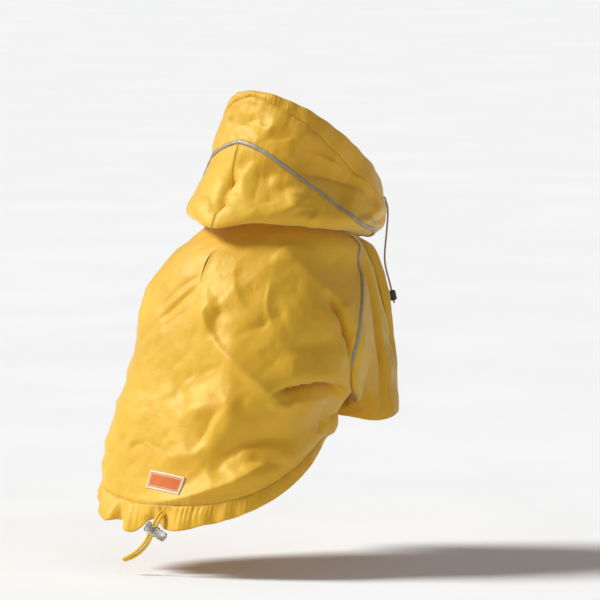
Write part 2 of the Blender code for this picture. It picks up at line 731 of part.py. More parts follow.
def build_body(coat, nylon):
    angles, rows = back_grid()
    back = body(angles, rows)
    middle = rows[:, BACK_HALF_CELLS]
    slit = [
        (i, BACK_HALF_CELLS)
        for i in range(len(rows) - 1)
        if SLIT_ROWS[0] < middle[i] and middle[i + 1] < SLIT_ROWS[1]
    ]
    add_sheet(coat, "back_panel", pulled_in(back, False, WALL_LEAN), nylon, CLOTH, holes=slit)
    chest = body(*chest_grid())
    add_sheet(coat, "chest_panel", pulled_in(chest, False, CASING_LEAN), nylon, CLOTH)
    for name, side in (("sleeve_right", 1), ("sleeve_left", -1)):
        sleeve = sleeve_grid(side)
        add_sheet(coat, name, np.concatenate([sleeve, sleeve[:, :1]], 1), nylon, CLOTH, wrap=True)
    rows = (CASING_ROW, HEM_ROW)
    hem = gathered_band(body, BODY, *rows, HEM_GATHERS, HEM_CELLS, HEM_LOBES, hem_seam())
    hem = pulled_in(hem, True, CASING_LEAN)
    add_sheet(coat, "hem_casing", hem, nylon, CASING_CLOTH, wrap=True)


def build_hood(coat, nylon):
    right, left = hood_arch()
    for name, edge in (("hood_back_right", right), ("hood_back_left", left)):
        lower = pulled_in(hood_back_grid(edge), False, WALL_LEAN)
        add_sheet(coat, name, lower, nylon, CLOTH)
    front, angles = hood_front_grid(right, left)
    add_sheet(coat, "hood_front", pulled_in(front, True, WALL_LEAN), nylon, CLOTH, wrap=True)
    seam = brim_seam(angles, front[-1])
    brim = gathered_band(hood, HOOD, BRIM_ROW, FACE_ROW, BRIM_GATHERS, BRIM_CELLS, (), seam)
    brim = pulled_in(brim, True, CASING_LEAN)
    add_sheet(coat, "hood_casing", brim, nylon, CASING_CLOTH, wrap=True)


def build_trim(coat):
    """Piping over the hood's arched seam and the back of each armhole, and the label."""
    grey = material("reflective_piping", (0.45, 0.42, 0.38, 1.0), 0.35, 0.2)
    right, left = hood_arch()
    front, _ = hood_front_grid(right, left)
    arch = np.concatenate([left, right[1:]])
    below = np.concatenate([hood_back_grid(left)[-2], hood_back_grid(right)[-2, 1:]])
    above = np.concatenate([front[1, -len(left) :], front[1, 1 : len(right)]])
    strip = piping_grid(hood(arch[:, 0], arch[:, 1]), below, above)
    strip = strip[HOOD_PIPING_SPARE:-HOOD_PIPING_SPARE]
    add_sheet(coat, "hood_piping", strip, grey, PIPING_CLOTH)
    first, last = RAGLAN_PIPING_CELLS
    seam = armhole_back()[first : last + 1]
    panel = body(*back_grid())
    for name, side in (("raglan_piping_right", 1), ("raglan_piping_left", -1)):
        line = body((side * seam[:, 0]) % 360, seam[:, 1])
        beside = [panel[first : last + 1, side], sleeve_grid(side)[1, first : last + 1]]
        if side < 0:
            beside = [beside[1], panel[first : last + 1, -2]]
        add_sheet(coat, name, piping_grid(line, *beside), grey, PIPING_CLOTH)
    orange = material("orange_label", (0.85, 0.28, 0.05, 1.0), 0.7)
    add_sheet(coat, "label", label_grid(panel), orange, LABEL_CLOTH)


def build_cords(coat, guides):
    """Hood drawcords, the ends of the hem's elastic cord, and their cord locks."""
    taupe = material("taupe_cord", (0.30, 0.26, 0.21, 1.0), 0.8)
    yellow = material("yellow_elastic", (0.80, 0.45, 0.02, 1.0), 0.8)
    black = material("black_plastic", (0.03, 0.03, 0.03, 1.0), 0.4)
    clear = material("clear_plastic", (0.62, 0.58, 0.50, 1.0), 0.25)
    for name, side in (("right", 1), ("left", -1)):
        path = [(forward, side * across, height) for forward, across, height in HOOD_CORD]
        add_cord(coat, "hood_cord_" + name, path, HOOD_CORD_DIAMETER, taupe)
        forward, across, height = HOOD_LOCK_PLACE
        place = (forward, side * across, height)
        add_turned(coat, "hood_lock_" + name, HOOD_LOCK, place, HOOD_LOCK_AXIS, black)
    add_cord(coat, "hem_cord_a", HEM_CORD_A, HEM_CORD_DIAMETER, yellow)
    add_cord(coat, "hem_cord_b", HEM_CORD_B, HEM_CORD_DIAMETER, yellow)
    slot = add_slot(guides, "lock_slot", HEM_LOCK_SLOT, HEM_LOCK_PLACE, HEM_LOCK_AXIS)
    for name, profile in (("hem_lock_barrel", HEM_BARREL), ("hem_lock_plunger", HEM_PLUNGER)):
        piece = add_turned(coat, name, profile, HEM_LOCK_PLACE, HEM_LOCK_AXIS, clear)
        cut = piece.modifiers.new("Slot", "BOOLEAN")
        cut.operation = "DIFFERENCE"
        cut.solver = "EXACT"
        cut.object = slot


def main():
    for old in list(bpy.data.objects):
        bpy.data.objects.remove(old)
    coat = bpy.data.collections.new("dog_raincoat")
    guides = bpy.data.collections.new("guides")
    bpy.context.scene.collection.children.link(coat)
    bpy.context.scene.collection.children.link(guides)
    nylon = material("yellow_nylon", (0.83, 0.50, 0.06, 1.0), 0.45)
    build_body(coat, nylon)
    build_hood(coat, nylon)
    build_trim(coat)
    build_cords(coat, guides)


if __name__ == "__main__":
    main()
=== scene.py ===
"""Looks of the hooded dog raincoat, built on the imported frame.

The sections, the cords' routes and most seams are those of the part's source, and the folds are finer.
Places are in millimetres as forward (-Y), side (the wearer's right, -X) and height (+Z). An angle round
the body or the hood is 0 at the chest, 90 at the wearer's right and 180 at the centre back. A row is a
section's number in its table. Every cloth piece is a thin shell on its solid's middle surface, with the
creases, puckers and crinkles of crisp nylon, and the pieces meet in their seams.
"""

import bmesh
import bpy
import numpy as np
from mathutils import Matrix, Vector


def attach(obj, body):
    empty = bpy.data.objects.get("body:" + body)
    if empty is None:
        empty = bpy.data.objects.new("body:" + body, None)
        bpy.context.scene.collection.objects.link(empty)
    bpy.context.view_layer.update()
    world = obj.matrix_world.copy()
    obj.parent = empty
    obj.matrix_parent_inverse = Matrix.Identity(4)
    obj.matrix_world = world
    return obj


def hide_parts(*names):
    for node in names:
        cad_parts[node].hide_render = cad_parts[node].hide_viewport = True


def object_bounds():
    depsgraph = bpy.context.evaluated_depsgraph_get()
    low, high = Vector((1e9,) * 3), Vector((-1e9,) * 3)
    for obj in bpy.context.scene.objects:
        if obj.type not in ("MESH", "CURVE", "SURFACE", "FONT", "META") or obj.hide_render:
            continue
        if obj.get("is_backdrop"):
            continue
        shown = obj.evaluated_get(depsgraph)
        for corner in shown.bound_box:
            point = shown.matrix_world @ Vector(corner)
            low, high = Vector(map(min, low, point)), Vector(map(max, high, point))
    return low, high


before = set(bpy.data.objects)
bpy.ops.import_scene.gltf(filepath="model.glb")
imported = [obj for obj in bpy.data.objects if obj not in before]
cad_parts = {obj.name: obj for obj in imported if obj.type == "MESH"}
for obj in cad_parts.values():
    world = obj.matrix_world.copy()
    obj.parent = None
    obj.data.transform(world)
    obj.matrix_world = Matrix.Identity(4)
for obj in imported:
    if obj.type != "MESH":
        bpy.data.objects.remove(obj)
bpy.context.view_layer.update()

MM = 0.001
CLOTH = 0.45  # wall of one layer of cloth, mm
CASING_CLOTH = 0.8  # wall of a folded casing

# Body sections, neck to hem:
# back forward, back height, front forward, front height, half width, boxiness, front narrowing, sway
BODY = (
    (-64, 8, 62, -14, 64, 0.00, 0.00, 0),
    (-84, -8, 88, -26, 84, 0.00, 0.00, 0),
    (-103, -25, 90, -42, 90, 0.01, 0.00, -4),
    (-117, -49, 90, -60, 103, 0.02, 0.00, -6),
    (-128, -79, 90, -84, 114, 0.03, 0.02, -4),
    (-138, -109, 90, -106, 116, 0.03, 0.10, 0),
    (-148, -141, 78, -127, 119, 0.03, 0.45, 0),
    (-158, -173, 52, -143, 119, 0.04, 0.65, -3),
    (-167, -205, 30, -152, 120, 0.04, 0.66, -6),
    (-175, -233, 18, -158, 122, 0.04, 0.48, -7),
    (-181, -255, 10, -162, 115, 0.03, 0.36, -6),
    (-187, -275, 8, -167, 118, 0.02, 0.30, -6),
)
CASING_ROW = 10.0
HEM_ROW = 11.0

# Hood sections, neck seam to face opening, with the body table's columns
HOOD = (
    (-65.5, 9.6, 63.5, -12.4, 65.5, 0.00, 0.00, 0),
    (-84, 7.5, 82, -17.5, 78, 0.00, 0.00, 0),
    (-97, 10, 95, -13, 87, 0.00, 0.00, 0),
    (-97, 20, 99, -8, 91, 0.00, 0.00, 0),
    (-88, 31, 101, -3, 88, 0.00, 0.00, 0),
    (-76, 50, 102, 1, 84, 0.00, 0.00, 0),
    (-66, 81, 103, 5, 78, 0.00, 0.00, 0),
    (-58, 104, 104, 8, 73, 0.00, 0.00, 0),
    (-48, 127, 105, 12, 69, 0.00, 0.00, 0),
)
# Seam of the face casing, on each side of the hood: angle, row
BRIM_SEAM = (
    (0, 6.2), (30, 6.0), (50, 5.8), (66, 5.75), (80, 5.95), (92, 6.3),
    (104, 6.65), (125, 7.15), (139, 7.4), (155, 7.6), (180, 7.8),
)
FACE_ROW = 8.0
BRIM_MIDDLE = 7.0  # row along which the hood's columns are evenly spaced

# Arched seam over the hood, centre back to the neck seam at the throat: angle, row
HOOD_SEAM = (
    (180, 5.95), (164, 5.80), (146, 5.45), (128, 5.00), (112, 4.40),
    (98, 3.45), (84, 2.50), (66, 1.90), (50, 1.10), (38, 0.30),
)
THROAT_STEP = 0.6  # degrees between the seam's end and the throat edge of the front piece

# Right armhole on the body, from the neck at the back, under the arm, to the neck at the front:
# angle, row, turn on the cuff, lean of the sleeve away from the body, pull of the sleeve's start
ARMHOLE = (
    (86, 0.0, 90, 0, 90),
    (84, 1.6, 105, 0, 80),
    (82, 2.6, 118, 0, 70),
    (88, 3.6, 131, 5, 65),
    (92, 4.5, 145, 20, 65),
    (93, 5.4, 160, 45, 65),
    (90, 6.2, 180, 75, 70),
    (78, 6.6, 205, 90, 80),
    (62, 6.5, 240, 90, 65),
    (44, 6.0, 295, 55, 35),
    (34, 5.0, 335, 15, 55),
    (32, 3.5, 363, 0, 80),
    (34, 1.8, 384, 0, 100),
    (40, 0.0, 400, 0, 90),
)
DOWN_FLOW = 1.2  # how far the sleeve's start turns from square to the armhole to down the body
START_PULL_LIMIT = 0.9  # pulls of the sleeve's start and of its cuff, in lengths of the sleeve
CUFF_PULL = 0.4
UNDERARM = 8  # the armhole row where the side seam starts
MIDDLE_ROW = 7.8  # where the grid line through the underarm meets a panel's middle
SIDE_SEAM = ((62, 6.5), (66, 8.0), (70, 10.0))  # angle, row

CUFF_FORWARD = 36
CUFF_SIDE = 73
CUFF_HEIGHT = -181  # 3 mm above the solid's, as in the photo
CUFF_RADIUS = 28

# Folds on the body. Depth is outward. The widths are as seen from outside, walking along the path:
# depth, left width, right width, sharpness (1 is a crisp edge, 2 is soft), path of (angle, row)
BODY_FOLDS = (
    # long diagonal fold from the leash slit to the flank
    (5.5, 24, 34, 1, ((176, 2.9), (173, 3.7), (171, 4.3), (165, 4.95), (153, 5.55), (138, 6.25), (127, 6.7))),
    (2.5, 10, 20, 1.0, ((165, 4.95), (153, 5.55), (138, 6.25), (127, 6.7), (120, 6.95))),
    # groove beside the armhole
    (-11, 3.2, 9, 1.0, ((111, 3.1), (108, 3.45), (104, 3.85), (100, 4.45), (96.5, 5.1), (95, 5.7))),
    # edge of the flank bulge above the thigh pocket, and the pocket under it
    (7, 26, 4, 1.15,
     ((137, 6.35), (129, 5.94), (121, 5.82), (116, 5.78), (108, 5.84), (98, 6.06), (88, 6.35))),
    (-15, 4, 5, 1.2, ((137, 6.5), (129, 6.17), (122, 6.07), (115, 6.04), (107, 6.1), (97, 6.35), (88, 6.7))),
    # thigh edge below the pocket
    (4, 8, 22, 1.1, ((131, 6.85), (122, 6.75), (112, 6.7), (100, 6.8), (90, 7.0))),
    # bulge of the side over the hem
    (12, 26, 26, 2.0, ((100, 5.6), (88, 6.4), (80, 7.2), (75, 8.2), (72, 9.4), (71, 11.5))),
    # shoulder ridge from the neck to the armhole
    (4, 22, 26, 1.1, ((160, 0.8), (140, 1.5), (132, 1.9), (119, 2.6), (108, 3.3), (102, 4.0), (99, 4.7))),
    # edge down the wearer's left
    (4.5, 30, 30, 1.0, ((250, 2.9), (226, 3.3), (216, 4.4), (212, 5.6), (211, 6.8), (216, 7.8), (222, 9.0))),
    # shallow hollows on the flank
    (-1.0, 10, 14, 1.4, ((160, 2.5), (157, 3.0), (154, 3.6), (151, 4.2))),
    (-1.0, 12, 9, 1.4, ((146, 2.9), (142, 3.6), (143, 4.2))),
    (-2.6, 14, 12, 1.3, ((146, 5.9), (137, 5.4), (129, 5.1), (116, 4.9), (103, 4.95))),
    # ridge above the hem casing
    (5, 12, 8, 1.2, ((195, 9.75), (181, 9.85), (171, 9.8), (156, 9.45), (141, 9.0), (130, 8.65), (120, 8.5))),
    # hollow on the haunch
    (-5, 18, 18, 1.2, ((156, 8.8), (152, 8.4), (146, 8.05), (134, 7.75), (118, 7.6))),
    (-2, 10, 12, 1.2, ((146, 8.8), (136, 8.35), (126, 8.5), (114, 9.0))),
    # soft ridges over the lower back
    (4, 24, 20, 1.3, ((140, 6.9), (152, 7.2), (161, 7.8), (171, 8.1), (190, 8.2))),
    (-2.5, 9, 14, 1.2, ((157, 6.4), (161, 7.1), (163, 7.7), (170, 8.1))),
    (-2.2, 9, 9, 1.4, ((158, 5.5), (167, 5.9), (176, 6.2), (186, 6.5))),
    (-2, 8, 10, 1.2, ((182, 3.1), (187, 3.5), (193, 3.9), (202, 4.3))),
    (2.4, 16, 12, 1.2, ((178, 7.0), (162, 6.65), (146, 6.55))),
)
FAR_SIDE = 0.6  # the same folds on the wearer's left are shallower
FAR_SIDE_LIMIT = 150  # degrees: folds wholly nearer the front than this are repeated
FAR_SIDE_SHIFT = 0.25  # and lie a little lower, in rows

# Lip of cloth that hangs over the thigh pocket: its edge as (angle, row), how far it reaches above and
# below its edge, in rows, and how far it stands out and hangs down, mm
POCKET_LIP = ((140, 6.35), (129, 6.0), (122, 5.9), (115, 5.87), (107, 5.93), (97, 6.15), (86, 6.5))
POCKET_LIP_REACH = (0.3, 0.07)
POCKET_LIP_SHIFT = (3.0, 6.5)
# The same for the fold behind the armhole, which reaches back and forward in degrees, and rolls forward
ARMHOLE_LIP = ((112, 3.0), (108.5, 3.4), (105, 3.85), (101, 4.45), (98, 5.0), (96.5, 5.6))
ARMHOLE_LIP_REACH = (9.0, 2.2)
ARMHOLE_LIP_SHIFT = (1.5, 5.0)
LIP_ENDS = 0.8  # how fast a lip rises from its ends, below 1 for fast
NECK_REACH = 0.6  # rows over which the hood is drawn to the neck seam
BODY_FADE = 1.5  # rows over which the body's folds grow from the neck
HOOD_FADE = (2.0, 0.8)  # the same for the hood's folds and its crinkles
# Drooping corner of the hood: its angle and row with its reach in each, and its shift in X, Y and Z, mm
HOOD_CORNER = ((180, 20), (2.1, 0.8), (0.0, 7.0, -10.0))

# Folds on the hood, with the body folds' columns
HOOD_FOLDS = (
    # crease at the centre back
    (-5, 9, 9, 1.5, ((182, 5.2), (180, 4.3), (181, 3.4), (180, 2.8))),
    # hollow in front of the piping
    (-7, 16, 14, 1.5, ((140, 6.2), (124, 5.8), (109, 5.2), (96, 4.6))),
    (4, 12, 12, 1.5, ((165, 6.6), (150, 6.8), (132, 6.7), (116, 6.4))),
    # soft folds below the piping
    (-4, 9, 12, 1.3, ((158, 5.5), (152, 4.5), (147, 3.4))),
    (3.5, 12, 10, 1.4, ((139, 4.8), (135, 3.9), (131, 3.0))),
    (-3, 10, 10, 1.5, ((130, 4.2), (124, 3.4), (120, 2.8))),
    # fold above the throat
    (-6, 7, 9, 1.5, ((78, 3.3), (62, 3.6), (46, 4.2))),
    (4, 9, 7, 1.5, ((82, 4.0), (64, 4.5), (46, 5.2))),
    # fold below the crown
    (-4, 9, 10, 1.5, ((206, 6.9), (192, 6.7), (178, 6.6), (166, 6.9))),
)

# Gathers: number round the edge, depth at the seam, depth at the free edge
HEM_GATHERS = (30, 0.5, 1.3)
BRIM_GATHERS = (24, 0.3, 0.8)
# Lobes of the hem beside the cord lock: angle, drop, flare, half width in degrees
HEM_LOBES = (
    (180, -9, -4, 5), (192, 8, 2, 7), (209, 6, 6, 9), (201, -5, -5, 4), (165, 4, 3, 8),
)

# Finer creases on the body. Depth is outward. The widths are as seen from outside, walking along the
# path: depth, left width, right width, sharpness (2 is soft), path of (angle, row)
BODY_CREASES = (
    # hook at the top of the long diagonal fold, and the fold's crisp edge
    (1.82, 6.2, 5, 1.15, ((165, 3.72), (170, 3.8), (172.5, 3.95), (171.5, 4.3), (168, 4.7))),
    (-1.82, 7.5, 6.2, 1.25, ((163, 3.75), (166, 3.95), (167.5, 4.3), (165, 4.65), (158, 5.05))),
    (1.68, 10, 3.1, 1, ((171, 4.35), (165, 4.95), (160, 5.25), (153, 5.55), (146, 5.9), (138, 6.25))),
    (1.12, 8.8, 3.8, 1, ((146, 5.9), (138, 6.25), (131, 6.55), (126, 6.8))),
    # fan of creases from the foot of the leash slit
    (-1.3, 2.5, 4, 1.0, ((177, 2.9), (180, 3.1), (185, 3.45), (195, 4.05), (211, 4.9))),
    (-1.2, 2.5, 4, 1.0, ((179, 2.75), (184, 2.95), (190, 3.2), (198, 3.7), (204, 4.0))),
    (-1.2, 4, 2.5, 1.0, ((177, 3.05), (180, 3.5), (183, 3.9), (195, 4.4), (205, 5.0))),
    (1.2, 5, 7, 1.0, ((178, 2.95), (183, 3.2), (190, 3.55), (203, 4.3))),
    (-0.98, 6.2, 7.5, 1.15, ((174, 3.0), (170, 3.35), (164, 3.7))),
    (0.91, 6.2, 6.2, 1.25, ((176, 3.1), (173, 3.5), (169, 3.75))),
    # creases on the left of the back
    (-0.98, 6.2, 5, 1.05, ((207, 3.1), (209, 3.45), (211, 3.85), (218, 4.2))),
    (-0.77, 5, 5, 1.05, ((203, 3.15), (204, 3.55), (207, 4.0))),
    (-1.12, 6.2, 6.2, 1, ((197, 4.45), (202, 4.6), (209, 4.78), (214, 5.1), (220, 5.45))),
    (0.98, 7.5, 6.2, 1.05, ((194, 4.5), (199, 4.75), (206, 5.0), (212, 5.5))),
    # hollows on the flank
    (1.8, 5, 14, 1.0, ((161, 2.3), (159, 3.1), (154, 3.7), (149, 4.05), (144, 4.3))),
    (1.8, 10, 4, 1.0, ((139, 2.7), (142, 3.4), (142, 3.9), (138, 4.3))),
    (-1.6, 10, 5, 1.0, ((159, 4.72), (150, 4.4), (139, 4.0), (131, 3.8))),
    (-1.0, 10, 10, 1.3, ((128, 4.95), (116, 4.8), (99, 4.85))),
    # shoulder edge and the folded wedge beside the armhole
    (1.26, 10, 7.5, 1.15, ((140, 1.4), (134, 1.7), (120, 2.6), (107, 3.45), (102, 3.9), (98, 4.6))),
    (-2.94, 5.6, 6.2, 1.15, ((110, 3.45), (106, 3.72), (102.5, 4.05), (99.5, 4.5), (97, 4.95))),
    (1.26, 5, 6.2, 1.15, ((101, 3.5), (97.5, 4.0), (96, 4.6))),
    # thigh pocket and the small fold at its corner
    (1.8, 3, 4, 1.0, ((137, 6.6), (131, 6.72), (125, 6.8), (121, 6.65), (118, 6.5))),
    (-1.5, 3, 4, 1.0, ((132, 6.5), (127, 6.6), (122, 6.55))),
    # creases at the middle of the back
    (-1.05, 6.2, 5, 1.05, ((184, 6.35), (182, 6.15), (177, 5.85), (174, 5.7))),
    (-0.98, 6.2, 5, 1.05, ((177, 6.2), (173, 5.9), (164, 5.55), (157, 5.45))),
    (0.84, 5, 6.2, 1.05, ((180, 6.3), (176, 6.0), (168, 5.75), (160, 5.6))),
    (-0.84, 3.8, 3.8, 1.05, ((177, 6.9), (176, 6.75), (175, 6.5))),
    (1.12, 11.2, 8.8, 1.55, ((178, 7.0), (168, 6.85), (156, 6.7), (147, 6.55))),
    # S-shaped fold over the lower back
    (-1.54, 6.2, 6.2, 1.15, ((154, 6.72), (158, 6.85), (161, 7.05), (161.5, 7.3), (163, 7.55), (165, 7.8))),
    (1.26, 7.5, 6.2, 1.25, ((147, 6.65), (153, 6.85), (157, 7.08), (158.5, 7.4), (162, 7.8))),
    (1.12, 12.5, 10, 1.45, ((140, 6.85), (145, 7.3), (152, 7.55), (159, 7.9), (171, 8.2), (183, 8.35))),
    # star of creases above the label
    (-0.91, 6.2, 6.2, 1, ((197, 7.6), (187, 7.85), (181, 8.0), (177, 8.15))),
    (-0.91, 3.8, 3.8, 1, ((182, 7.4), (179, 7.8), (177, 8.15))),
    (0.77, 3.8, 3.8, 1, ((179, 7.5), (178, 7.85), (177, 8.15))),
    (-0.77, 3.8, 3.8, 1, ((175, 7.7), (175.5, 7.95), (176, 8.15))),
    (1.26, 7.5, 5, 1.05, ((203, 7.9), (196, 7.8), (190, 7.65))),
    (-1.12, 5, 6.2, 1.05, ((199, 8.1), (195, 7.9), (191, 7.92))),
    (-0.98, 7.5, 6.2, 1.15, ((232, 8.15), (210, 7.95), (203, 7.9))),
    # rolls and hollows above the hem
    (1.26, 8.8, 6.2, 1.25,
     ((190, 10.0), (181, 9.95), (173, 9.82), (163, 9.62), (150, 9.22), (141, 9.1), (129, 8.75))),
    (-1.82, 10, 8.8, 1.35, ((153, 8.45), (149, 7.95), (143, 7.7), (133, 7.7), (118, 7.9), (103, 8.5))),
    (-1.68, 6.2, 6.2, 1.25, ((140, 8.3), (130, 8.5), (117, 8.95), (103, 9.6))),
    (0.98, 6.2, 6.2, 1.35, ((148, 8.5), (140, 8.05), (130, 8.1), (117, 8.45), (104, 9.1))),
    # side of the hem
    (-1.6, 4, 8, 1.0, ((101, 6.6), (94, 7.3), (88, 8.2), (86, 9.0))),
    (-1.12, 5, 5, 1.05, ((88, 8.2), (80, 8.6), (74, 9.2))),
    (0.98, 5, 5, 1.05, ((92, 8.6), (84, 9.0), (76, 9.7))),
    # below the hood's edge
    (-1.12, 10, 7.5, 1.35, ((173, 1.85), (163, 1.75), (147, 1.9), (138, 2.25))),
    (1.05, 11.2, 8.8, 1.45, ((129, 1.35), (114, 2.05), (104, 2.9))),
)

# Folds on the sleeve, with the creases' columns and a path of (turn on the cuff, share of the way down)
SLEEVE_FOLDS = (
    (10, 18, 18, 2.0, ((228, 0.5), (222, 0.68), (216, 0.84), (212, 1.05))),
    (-5, 5, 12, 1.1, ((205, 0.72), (190, 0.64), (168, 0.54), (142, 0.44), (120, 0.36))),
    (3, 8, 6, 1.2, ((200, 0.6), (178, 0.5), (152, 0.4), (128, 0.3))),
    (2.2, 9, 5, 1.1, ((212, 0.98), (185, 0.94), (155, 0.87), (120, 0.78), (100, 0.74))),
    (-2, 5, 8, 1.2, ((205, 0.86), (180, 0.84), (150, 0.76), (125, 0.66))),
    (-2.5, 6, 7, 1.2, ((118, 0.2), (112, 0.45), (108, 0.7), (110, 0.92))),
    (2, 6, 7, 1.2, ((98, 0.15), (94, 0.4), (92, 0.65), (95, 0.9))),
    (-2, 6, 6, 1.2, ((78, 0.2), (72, 0.5), (70, 0.85))),
    (-1.8, 5, 6, 1.2, ((110, 0.52), (90, 0.58), (66, 0.6), (40, 0.56))),
    (1.8, 6, 6, 1.2, ((105, 0.64), (84, 0.7), (60, 0.72), (36, 0.68))),
    (-2, 6, 7, 1.2, ((250, 0.3), (262, 0.55), (270, 0.85))),
    (2, 7, 7, 1.2, ((300, 0.2), (310, 0.5), (320, 0.85))),
    (-2, 6, 6, 1.2, ((340, 0.25), (348, 0.55), (5, 0.85))),
)
CUFF_RISE = (3.5, 35)  # how far the cuff rises and dips twice round, mm, and a turn where it is highest

# Finer creases on the hood
HOOD_CREASES = (
    # centre back
    (-2.38, 5, 3.8, 1.05, ((174, 5.0), (179, 4.75), (182.5, 4.3), (180, 3.4), (178, 2.6))),
    (1.12, 6.2, 5, 1.15, ((171, 4.9), (175, 4.55), (178, 4.15), (176, 3.4))),
    (-1.05, 5, 5, 1.05, ((168, 5.6), (171, 5.3), (173, 4.95))),
    (-0.84, 5, 5, 1.05, ((169, 5.5), (175, 5.3), (178, 5.1), (186, 5.0))),
    (-1.05, 6.2, 6.2, 1.15, ((199, 4.3), (190, 3.7), (184, 2.9))),
    # folds below the piping
    (-1.4, 10, 5, 1.0, ((163, 5.4), (161, 5.0), (160, 4.3), (158, 3.5))),
    (0.6, 8, 10, 1.4, ((154, 5.2), (151, 4.4), (147, 3.4))),
    (-1.2, 6, 12, 1.1, ((146, 5.0), (141, 4.2), (137, 3.2))),
    (0.7, 10, 6, 1.2, ((118, 4.3), (129, 3.8), (139, 3.2), (152, 2.5))),
    (-0.7, 7, 7, 1.4, ((116, 4.0), (126, 3.5), (136, 2.9))),
    (-0.91, 5, 5, 1.15, ((158, 5.45), (149, 5.25), (141, 5.05))),
    # facets between the piping and the crown
    (1.68, 6.2, 11.2, 1.05, ((144, 6.5), (143, 6.15), (143, 5.85), (141, 5.5))),
    (1.26, 10, 7.5, 1.25, ((146, 6.42), (137, 6.7), (129, 6.95), (114, 7.1))),
    (-5, 14, 4, 1.05, ((138, 5.35), (127, 5.42), (116, 5.55), (106, 5.6), (96, 5.62), (84, 5.4))),
    (2.2, 5, 10, 1.0, ((135, 6.05), (125, 6.15), (116, 6.15), (103, 6.2))),
    (-0.98, 5, 5, 1.15, ((121, 5.7), (111, 5.88), (101, 6.05))),
    (0.98, 5, 5, 1.15, ((130, 5.75), (119, 5.85), (108, 5.95))),
    (1.4, 6.2, 6.2, 1.15, ((155, 6.4), (160, 6.5), (170, 6.65), (182, 6.65))),
    (-1.26, 5, 6.2, 1.15, ((156, 6.65), (166, 6.85), (178, 6.85))),
    # crown and the left side of the hood
    (-1.05, 6.2, 6.2, 1.15, ((200, 7.2), (200, 6.6), (209, 6.15))),
    (-0.98, 6.2, 6.2, 1.15, ((183, 6.15), (187, 5.95), (191, 5.65))),
    # folds towards the throat
    (1.54, 6.2, 5, 1.15, ((100, 6.0), (87, 6.05), (76, 5.8), (70, 5.0))),
    (-1.26, 5, 5, 1.05, ((88, 5.4), (81, 5.1), (74, 4.65))),
    (-1.82, 6.2, 7.5, 1.25, ((96, 3.2), (87, 3.72), (79, 4.15), (72, 4.7))),
    (1.4, 5, 5, 1.15, ((92, 2.75), (85, 3.05), (74, 3.7))),
)

# Crinkles of the crisp cloth: size of the facets and range of their heights, mm, and a seed
CRINKLES = ((88.0, 3.2, 0.4), (42.0, 2.0, 2.1), (21.0, 1.5, 3.8), (11.0, 1.0, 5.5))
FACET_BEND = (0.28, 1.9)  # how far the lines between facets bend, in facets, and how fast
PUCKER_REACH = 9.0  # how far puckers run from a seam, mm

# Fine pleats of the casings: number round the edge, depth at the seam, depth at the free edge, least
# strength, and the angle from the front where they are strongest with the width of that stretch
HEM_PLEATS = (118, 0.85, 0.1, 0.35, 165, 30)
BRIM_PLEATS = (110, 0.8, 0.15, 0.15, 146, 24)

# Grid cells along each stretch
ARM_BACK_CELLS = 96
ARM_FRONT_CELLS = 56
ARM_NECK_CELLS = 16
SIDE_CELLS = 60
BACK_HALF_CELLS = 128
CHEST_HALF_CELLS = 30
SLEEVE_CELLS = 58
HEM_CELLS = (720, 14)
HOOD_ARCH_CELLS = 128
HOOD_THROAT_CELLS = 24
HOOD_BACK_CELLS = 60
HOOD_FRONT_CELLS = 84
BRIM_CELLS = (520, 14)

# Leash slit at the centre back
SLIT_ROWS = (1.8, 2.92)
SLIT_GAP = 3.4  # 1 mm more than the solid's, so that it shows dark
SLIT_ENDS = 0.6  # how fast it opens from its ends, below 1 for fast
SLIT_LIPS = (1.5, -0.6)  # how far the right and left lips rise, mm
TACK_HALF = 3  # half width of the bar tacks at the slit's ends, in grid cells

SEAM_VALLEY = (0.5, 1.5)  # depth and half width of a seam's valley, mm
SEAM_PUFF = (0.35, 4.5, 2.6)  # height, distance from the seam and half width of the cloth beside it
STITCH_PITCH = 3.0
STITCH_LENGTH = 2.1
STITCH_RADIUS = 0.22
TOPSTITCH = 2.2  # distance of the topstitching from its seam

PIPING_WIDTH = 3.6
PIPING_THICKNESS = 1.5
PIPING_FLATNESS = 0.6  # of its section, 1 for an oval
PIPING_RIPPLE = (0.1, 14.0, 2.0)  # height and spacing of its unevenness, mm, and phase
PIPING_SIDES = 14
PIPING_SPARE = 2  # grid cells at each end of the arched seam that the piping leaves free
ARCH_BESIDE = 2  # grid cells from a seam, where its piping reads how the cloth lies
RAGLAN_BESIDE = 3
CASING_PUFF = 1.4  # how far a casing bulges between its seam and its edge, mm
SEAM_SHARE = 0.12  # of a casing's width, over which its gathers grow from the seam
SLIT_REACH = 4.0  # how far beside the slit its parting reaches, mm
CUFF_HEM = 9.0  # distance of the cuff's topstitching from its edge
RAGLAN_PIPING_SHARES = (0.06, 0.67)  # of the back of the armhole

